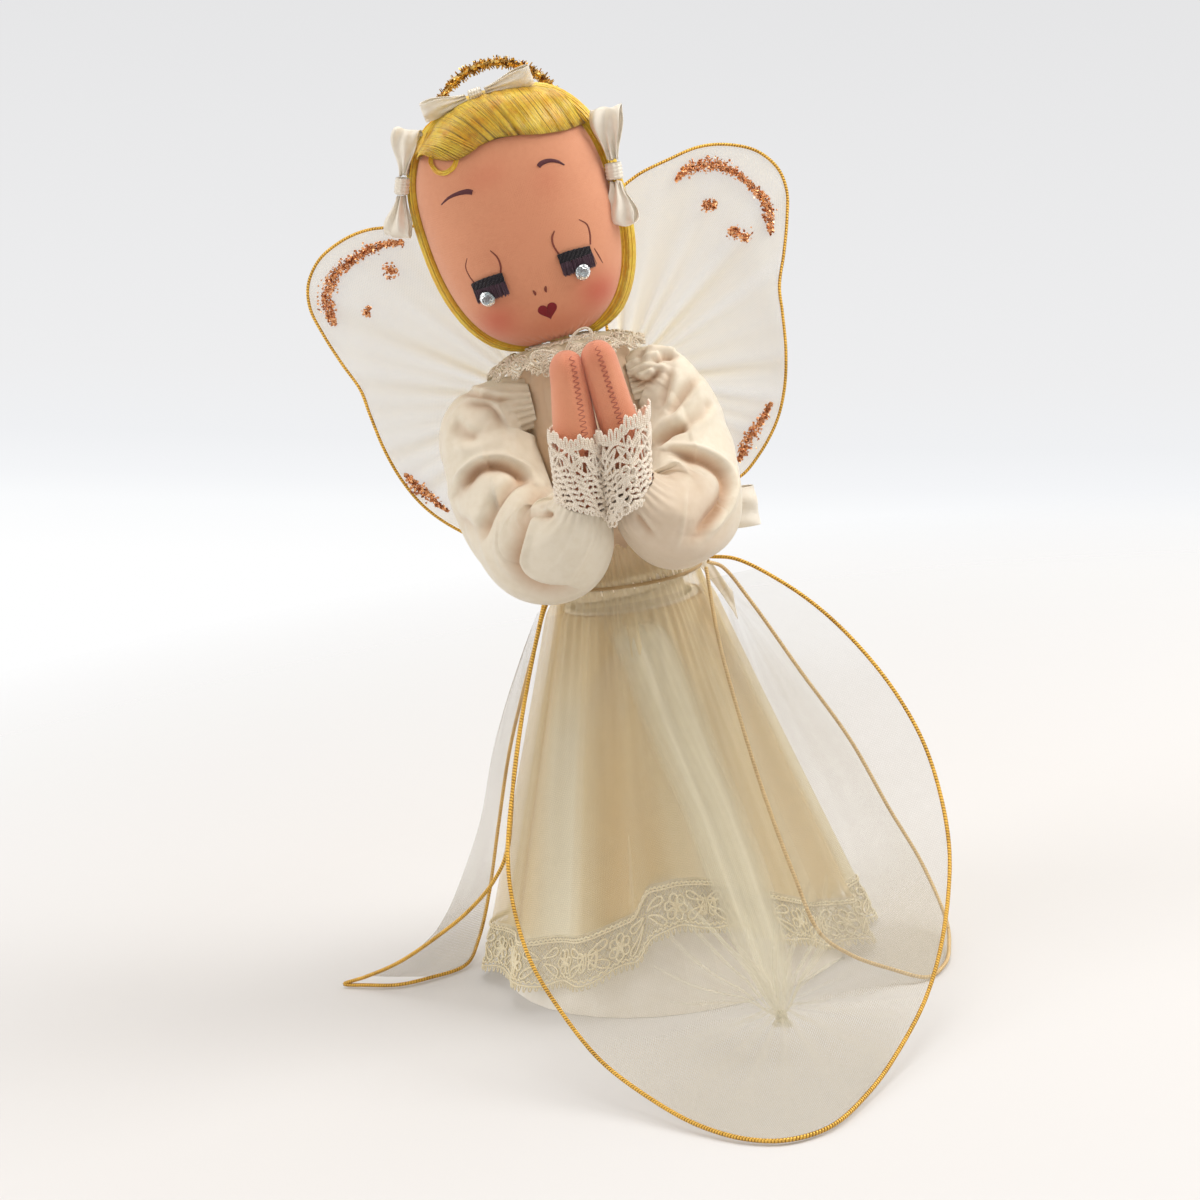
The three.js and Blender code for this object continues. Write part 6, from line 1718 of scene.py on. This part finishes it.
def makeBangs():
    shapes = []
    for k, (name, part) in enumerate(bangs.items()):
        rows, columns = 40, 150
        share = np.linspace(0, 1, columns)[None]
        q = np.linspace(0, 1, rows)[:, None]
        groove = ripples(100 + k, 6, 60 * share + 3 * q) + 0.7 * ripples(110 + k, 5, 130 * share)
        u, w, offset = bangPoint(part, share + 0.01 * np.sin(9 * q), q, -0.25 + 0.38 * groove * np.sin(np.pi * np.clip(q, 0.08, 0.95)))
        front = crownPoint(u, w, offset)
        back = crownPoint(u, w, head["maskOut"] + 0.25 + 0 * offset)
        ringPoints = np.concatenate([front, back[:, ::-1]], axis=1)
        uvGrid = np.stack(np.broadcast_arrays(np.linspace(0, 16, rows)[:, None], np.linspace(0, 80, 2 * columns + 1)[None]), -1)
        # the groove mark on the base is painted shade: dark in the grooves between clumps, deeper towards the lower
        # edge
        mark = np.clip(0.25 - 0.5 * groove + 0.55 * smoothStep(0.55, 0.95, q) * np.clip(-groove + 0.25, 0, 1), 0, 0.9)
        shapes.append(gridShape(ringPoints, uvGrid, wrapColumns=True, capEnds=True, outward=True,
                                marks={"groove": np.concatenate([mark, mark[:, ::-1]], axis=1)}))
        count = 1150 if name == "right" else 520

        def place(share, q, lift, part=part, k=k):
            wave = ripples(100 + k, 6, 60 * share + 3 * q)
            u, w, offset = bangPoint(part, share, q, -0.1 + 0.45 * lift * np.sin(np.pi * np.clip(q, 0.05, 0.97)) + 0.36 * wave)
            return crownPoint(u, w, offset)

        paths, shares, q = strandPaths(count, 13, 120 + k, place, 0.006)
        centre = np.array([0, 0, head["centre"]])
        # strand tone: random, plus painted shade for strands in the grooves between clumps and locks and towards their
        # ends under the lower edge
        clump = ripples(100 + k, 6, 60 * shares + 3 * q)
        tone = np.random.default_rng(130 + k).uniform(0, 1, (count, 1)) ** 3 * 0.5
        lock = ripples(110 + k, 5, 130 * shares + 2 * q)
        tone = tone + 0.35 * np.clip(-clump - 0.1, 0, 1) + 0.7 * np.clip(-lock - 0.15, 0, 1) * smoothStep(0.1, 0.8, q)
        tone = np.clip(tone + 0.3 * smoothStep(0.8, 1.0, q), 0, 0.92)
        shapes.append(threadShape(paths, paths - centre, hair["strand"], sides=3, marks={"groove": tone}))
    # the thin curl that hangs on the forehead
    line = np.array([(-15.4, 18.4), (-16.3, 16.3), (-15.4, 14.2), (-13.3, 13.2), (-11.3, 13.9), (-9.8, 15.8)])
    path = pathThrough(np.column_stack([line, np.zeros(len(line))]))
    at = along(path, np.linspace(0, 1, 40))
    curls = []
    for k in range(12):
        off = 0.24 * np.array([np.cos(2.4 * k), np.sin(2.4 * k)]) * (1 + 0.5 * np.sin(np.linspace(0, 3, 40) + k))[:, None]
        curls.append(facePoint(at[:, 0] + off[:, 0] * 1.6, at[:, 1] + off[:, 1] * 1.6, head["maskOut"] + 0.25 + 0.2 * np.sin(k)))
    curls = np.array(curls)
    shapes.append(threadShape(curls, faceNormal(curls[..., 0], curls[..., 2] - head["centre"]), 0.11, sides=4,
                              marks={"groove": 0.02 + 0 * curls[..., 0]}))
    piece("bangs_floss", moved(joinShapes(*shapes), fromHead), materials["floss"], "head", ["hair_bangs"])


# A lock over a band of the head: (share across, q along) -> latitude and angle between two edge lines.
def lockShape(seed, angles, latitudes, offset, thick, count, steps, twist=0.0, columns=60, rows=70, pinch=None):
    def place(share, q, lift):
        latitude = lerp(latitudes[0], latitudes[1], q)
        turn = angles(share, q) if callable(angles) else lerp(angles[0], angles[1], share + twist * np.sin(np.pi * q))
        wave = ripples(seed, 6, 34 * share + 2.2 * q)
        body = np.sqrt(np.clip(1 - (2 * np.clip(share, 0, 1) - 1) ** 4, 0, 1))
        close = 1 if pinch is None else pinch(q)
        return headPoint(latitude, turn, offset + (thick * body + 0.4 * wave + lift) * close)

    share = np.linspace(0, 1, columns)[None]
    q = np.linspace(0, 1, rows)[:, None]
    front = place(share, q, -0.25 + 0 * q * share)
    back = headPoint(lerp(latitudes[0], latitudes[1], q), (angles(share, q) if callable(angles) else
                     lerp(angles[0], angles[1], share)) + 0 * q, head["maskOut"] * 0 + offset - 0.9 + 0 * q * share)
    wave = ripples(seed, 6, 34 * share + 2.2 * q)
    # the groove mark on the base is painted shade in the grooves between clumps
    mark = np.clip(0.25 - 0.5 * wave, 0, 0.7)
    uvGrid = np.stack(np.broadcast_arrays(np.linspace(0, 60, rows)[:, None], np.linspace(0, 60, 2 * columns + 1)[None]), -1)
    base = gridShape(np.concatenate([front, back[:, ::-1]], axis=1), uvGrid, wrapColumns=True, capEnds=True, outward=True,
                     marks={"groove": np.concatenate([mark, mark[:, ::-1]], axis=1)})
    paths, shares, q = strandPaths(count, steps, seed + 1, lambda s, q, lift: place(np.clip(s, 0, 1), q, 0.35 * lift - 0.05), 0.008)
    # strand tone: random, plus painted shade for strands in the grooves between clumps
    clump = ripples(seed, 6, 34 * shares + 2.2 * q)
    tone = np.random.default_rng(seed + 2).uniform(0, 1, (count, 1)) ** 3 * 0.5
    tone = np.clip(tone + 0.55 * np.clip(-clump - 0.15, 0, 1), 0, 0.9)
    strands = threadShape(paths, paths - np.array([0, 0, head["centre"]]), hair["strand"] * 1.1, sides=3, marks={"groove": tone})
    return joinShapes(base, strands)


def makeHair():
    for name, side in (("left", -1), ("right", 1)):
        edge = np.radians({"left": (-83, -106), "right": (75, 104)}[name])
        shape = lockShape(200 + side, edge, np.radians((80, -76)), head["maskOut"] + 0.4, 1.7 + 0.5 * side, 330, 30, twist=0.12 * side, columns=36,
                          rows=90, pinch=lambda q: np.clip(0.35 + 1.1 * np.sin(np.pi * np.clip(q, 0.03, 0.97)) ** 0.6, 0, 1))
        made = moved(shape, fromHead)
        piece(f"{name}_side_floss", made, materials["floss"], "head", [f"{name}_side_hair"])
    # the back falls from the crown to the nape in one combed sheet
    shape = lockShape(230, np.radians((100, 260)), np.radians((84, -64)), head["maskOut"] + 0.2, 1.6, 780, 22, columns=130, rows=60,
                      pinch=lambda q: np.clip(0.3 + 1.2 * np.sin(np.pi * np.clip(q, 0.02, 0.98)) ** 0.5, 0, 1))
    piece("back_floss", moved(shape, fromHead), materials["floss"], "head", ["hair_cap"])
    # the crown between bangs and back
    shape = lockShape(240, np.radians((-104, 104)), np.radians((88, 40)), head["maskOut"] + 0.3, 1.7, 800, 12, columns=130, rows=26,
                      pinch=lambda q: 1 - 0.4 * q)
    piece("crown_floss", moved(shape, fromHead), materials["floss"], "head")


makeBangs()
makeHair()
print("hair made")


# Ribbon bows. One loop runs out from the knot and back: x = L sin(pi q)^0.8, y = depth sin(2 pi q), and the ribbon's
# width lies along z, gathered at the knot; crumples are ripples across it.
def bowShape(length, half, depth, knot, seed, lengths=(1, 1), crumple=0.5, tails=()):
    shapes = []
    q = np.linspace(0.02, 0.98, 90)[:, None]
    v = np.linspace(-1, 1, 36)[None]
    for index, side in enumerate((-1, 1)):
        reach = length * lengths[index]
        full = np.sin(np.pi * q)
        x = side * (knot * 0.6 + (reach - knot * 0.6) * full**0.8)
        gather = 0.32 + 0.68 * smoothStep(0.0, 0.75, full)
        crease = crumple * (ripples(seed + index, 5, 5 * v, 9 * q) + 0.7 * np.cos(7 * v + 2 * q) * (1 - full))
        y = depth * np.sin(fullTurn * q) * (0.75 + 0.25 * np.cos(2 * v)) + crease
        z = half * gather * v + 0.5 * crumple * ripples(seed + 7 + index, 4, 8 * q) * full
        points = np.stack(np.broadcast_arrays(x + 0.35 * crumple * ripples(seed + 3, 4, 4 * v, 6 * q), y, z), -1)
        uvGrid = np.stack(np.broadcast_arrays(v * half, q * 2.2 * reach), -1)
        shapes.append(gridShape(points, uvGrid))
    a = (np.arange(40) / 40 * fullTurn)[None]
    t = np.linspace(-1, 1, 22)[:, None]
    ridge = 0.12 * np.sin(5 * np.pi * t) + 0.08 * np.sin(9 * a)
    ring = np.stack(np.broadcast_arrays(t * knot, (depth * 0.55 + 0.5 + ridge) * np.cos(a), (half * 0.42 + 0.3 + ridge) * np.sin(a)), -1)
    ring = ring * np.array([1.0, 1.0, 1.0]) * np.where(np.abs(t) > 0.85, 0.93, 1.0)[..., None]
    uvGrid = np.stack(np.broadcast_arrays((np.arange(41) / 40 * 10)[None], t * knot), -1)
    shapes.append(gridShape(ring, uvGrid, wrapColumns=True, capEnds=True, outward=True))
    for k, (tx, ty, tz, width) in enumerate(tails):
        q = np.linspace(0, 1, 50)[:, None]
        v = np.linspace(-1, 1, 20)[None]
        x = tx * q + 0.6 * np.sin(3 * q + k) * q + 0 * v
        z = tz * q + width * v * (0.4 + 0.6 * smoothStep(0, 0.4, q)) + 0.4 * v * (q > 0.95)
        y = ty * q - depth * 0.3 + 0.8 * crumple * ripples(seed + 30 + k, 4, 7 * q, 3 * v)
        shapes.append(gridShape(np.stack(np.broadcast_arrays(x, y, z), -1), np.stack(np.broadcast_arrays(v * width, q * 14), -1)))
    return joinShapes(*shapes)


# Turns a bow's own axes to given right, back and up directions and moves it to its place.
def setBow(shape, right, back, up, place):
    axes = np.stack([unit(np.array(axis, float)) for axis in (right, back, up)])
    return moved(shape, lambda p: p @ axes + np.array(place, float))


def makeBows():
    c, s = np.cos(np.radians(2)), np.sin(np.radians(2))
    crown = bowShape(14.2, 2.5, 1.7, 1.7, 300, lengths=(0.95, 1.0), crumple=0.6)
    crown = setBow(crown, (c, 0, s * 0.8), (0, 1, 0.25), (-s, -0.55, c), (-1.1, -8.0, head["centre"] + 28.8))
    made = piece("crown_ribbon_bow", moved(crown, fromHead), materials["ribbon"], "head", ["crown_bow"], thickness=0.18)
    sides = {"left": (-1, 13.0, 3.3, (0.95, 1.05), 25.1, 13.6, 24.0), "right": (1, 14.2, 3.9, (0.93, 1.07), 25.2, 1.4, 9.0)}
    for name, (side, length, half, lengths, out, up, turn) in sides.items():
        bow = bowShape(length, half, 2.3, 2.1, 310 + side, lengths=lengths, crumple=1.2)
        tilt = np.radians(turn)
        bow = setBow(bow, (np.sin(tilt), 0.0, np.cos(tilt)), (0.3, 1, 0), (np.cos(tilt), -0.3, -np.sin(tilt)), (side * out, {"left": -3.0, "right": -7.0}[name], head["centre"] + up))
        made = piece(f"{name}_ribbon_bow", moved(bow, fromHead), materials["ribbon"], "head", [f"{name}_bow"],
                     thickness=0.18)
    waist = bowShape(22.5, 5.2, 2.8, 2.2, 330, crumple=0.8, tails=[(12, 3.5, -26, 3.4), (-9, 3.0, -24, 3.4)])
    waist = setBow(waist, (1, 0.05, -0.05), (0, 1, 0), (0.05, 0, 1), (15, 19.6, 10.3))
    made = piece("waist_ribbon_bow", moved(waist, fromUpper), materials["ribbon"], "doll", ["back_bow"], thickness=0.18)


makeBows()


# Halo: a wire ring dressed in tinsel, short slivers that stand out all round it
halo = {"radius": 16.7, "side": 1.4, "up": 19.6, "behind": 23.2, "core": 0.8, "slivers": 2600}


def makeHalo():
    a = (np.arange(220) / 220 * fullTurn)
    centre = np.array([halo["side"], halo["behind"], head["centre"] + halo["up"]])
    ringPath = centre + halo["radius"] * np.stack([np.cos(a), 0 * a, np.sin(a)], -1)
    core = threadShape(ringPath[None], (0, 1.0, 0), halo["core"] + 0.1 * np.sin(30 * a)[None], sides=8, closed=True)
    picker = np.random.default_rng(400)
    count = halo["slivers"]
    turn = picker.uniform(0, fullTurn, count)
    around = picker.uniform(0, fullTurn, count)
    radial = np.stack([np.cos(turn), 0 * turn, np.sin(turn)], -1)
    start = centre + halo["radius"] * radial
    outward = np.cos(around)[:, None] * radial + np.sin(around)[:, None] * np.array([0, 1.0, 0])
    tangent = np.stack([-np.sin(turn), 0 * turn, np.cos(turn)], -1)
    lean = unit(outward + picker.normal(0, 0.45, (count, 1)) * tangent)
    length = picker.uniform(0.9, 2.0, (count, 1))
    side = unit(np.cross(lean, picker.normal(0, 1, (count, 3)))) * picker.uniform(0.16, 0.34, (count, 1))
    bend = np.cross(side, lean) * picker.normal(0, 0.9, (count, 1))
    foot, tip = start + 0.4 * lean, start + length * lean + bend
    points = np.stack([foot - side, foot + side, tip + 0.6 * side, tip - 0.6 * side], axis=1)
    thick = unit(np.cross(points[:, 1] - points[:, 0], points[:, 3] - points[:, 0]))[:, None] * 0.03
    box = np.concatenate([points + thick, points - thick], axis=1).reshape(-1, 3)
    corner = np.array([[0, 1, 2, 3], [7, 6, 5, 4], [0, 4, 5, 1], [1, 5, 6, 2], [2, 6, 7, 3], [3, 7, 4, 0]])
    faces = (np.arange(count)[:, None, None] * 8 + corner[None]).reshape(-1, 4)
    slivers = {"points": box, "faces": [faces], "uvs": [np.zeros((len(faces), 4, 2))], "marks": {}}
    piece("halo_tinsel", moved(joinShapes(core, slivers), fromHead), materials["tinsel"], "head", ["halo_ring"], smooth=False)


makeHalo()
print("bows and halo made")


# Collar: gathered lace round the neck; (angle, share outward) -> ring that drops and ripples towards its edge
collar = {"inner": 6.5, "outer": 19.6, "lift": 4.9, "drop": 4.6, "ripples": 15, "ripple": 1.0, "backIn": 2.4}


def collarPoint(angle, share, up=0.0):
    outer = collar["outer"] - collar["backIn"] * smoothStep(0.1, 0.7, np.sin(angle))
    radius = lerp(collar["inner"], outer, share)
    wave = collar["ripple"] * share * np.cos(collar["ripples"] * angle + 1.5 * np.sin(3 * angle))
    z = pose["neckUp"] + collar["lift"] - collar["drop"] * share**1.6 + wave + up
    return np.stack([pose["neckSide"] + radius * np.cos(angle), radius * np.sin(angle), z], axis=-1)


def makeCollar():
    a = (np.arange(480) / 480 * fullTurn)[None]
    q = np.linspace(0, 1, 24)[:, None]
    points = collarPoint(a + 0 * q, q + 0 * a, -0.3)
    uvGrid = np.stack(np.broadcast_arrays((np.arange(481) / 480 * 110)[None], (q * 14)), -1)
    net = gridShape(points, uvGrid, wrapColumns=True, marks={"pleat": 0.35 + 0.25 * np.cos(15 * a) + 0 * q})
    net = moved(net, fromUpper)
    lines = np.array([0.03, 0.12, 0.2, 0.52, 0.86, 0.93, 0.985])[:, None]
    waver = lines + 0.012 * np.sin(40 * a + 9 * lines)
    cords = threadShape(collarPoint(a + 0 * waver, waver), (0, 0, 1.0), 0.22, sides=5, closed=True)
    loops = []
    for k in range(26):
        at = k / 26 * fullTurn
        for loop in flowerLoops(0, 0, 1.9, petals=5, steps=16, turn=k) + [leafLoop(1.6, -1.2, 2.6, 0.6, 0.4, 16), leafLoop(-1.6, -1.2, 2.6, 0.6, 2.7, 16)]:
            loops.append(np.stack([at + loop[:, 0] / 15.5, 0.7 + loop[:, 1] / 13.3], -1))
    for k in range(104):
        loop = leafLoop(0, 0, 1.3, 0.42, np.pi / 2, 16)
        loops.append(np.stack([k / 104 * fullTurn + loop[:, 0] / 18, 0.96 + loop[:, 1] / 13.3], -1))
    loops = np.array(loops)
    motifs = threadShape(collarPoint(loops[..., 0], loops[..., 1], 0.15), (0, 0, 1.0), 0.22, sides=4, closed=True)
    threads = piece("collar_lace_threads", moved(joinShapes(cords, motifs), fromUpper), materials["laceThread"], "doll",
                    ["collar_lace"])
    made = piece("collar_lace_net", net, materials["net"], "doll")
    # a braided loop bow and a small rosette lie on the collar's front
    shapes = []
    place = np.array([-1.5, -19.6, pose["neckUp"] + 2.2])
    for sideways, tall, turn in ((5.2, 3.0, 0.55), (-4.6, 2.6, 2.95)):
        t = np.linspace(0.04, 0.96, 80)
        reach = abs(sideways) * np.sin(np.pi * t) * 1.7
        across = tall * np.sin(fullTurn * t) * 0.62
        for strand in range(3):
            twist = fullTurn * (9 * t + strand / 3)
            x = reach * np.cos(turn) - across * np.sin(turn)
            z = reach * np.sin(turn) + across * np.cos(turn)
            line = np.stack([x + 0.2 * np.cos(twist), 0.25 * np.sin(twist) - 0.6 * np.sin(np.pi * t), z], -1)
            shapes.append(threadShape((place + line)[None], (0, -1.0, 0), 0.26, sides=6))
    for k in range(9):
        t = np.arange(18) / 18 * fullTurn
        a = 2.4 * k
        centre = place + np.array([-4.4, -0.5, -1.8]) + 1.25 * np.array([np.cos(a), 0, np.sin(a)]) * (0.35 + 0.11 * k)
        line = centre + np.stack([0.75 * np.cos(t), 0.25 * np.sin(2 * t + k), 0.75 * np.sin(t)], -1)
        shapes.append(threadShape(line[None], (0, -1.0, 0), 0.2, sides=5, closed=True))
    for k in range(2):
        t = np.linspace(0, 1, 40)
        line = place + np.stack([-1.5 * t * (1 + k), -0.5 - 0.3 * np.sin(3 * t), -4.2 * t - 1.1 * k * t], -1)
        shapes.append(threadShape(line[None], (0, -1.0, 0), 0.26, sides=6))
    piece("collar_braid_bow", moved(joinShapes(*shapes), fromUpper), materials["laceThread"], "doll", ["collar_bow"])


makeCollar()
print("collar made")
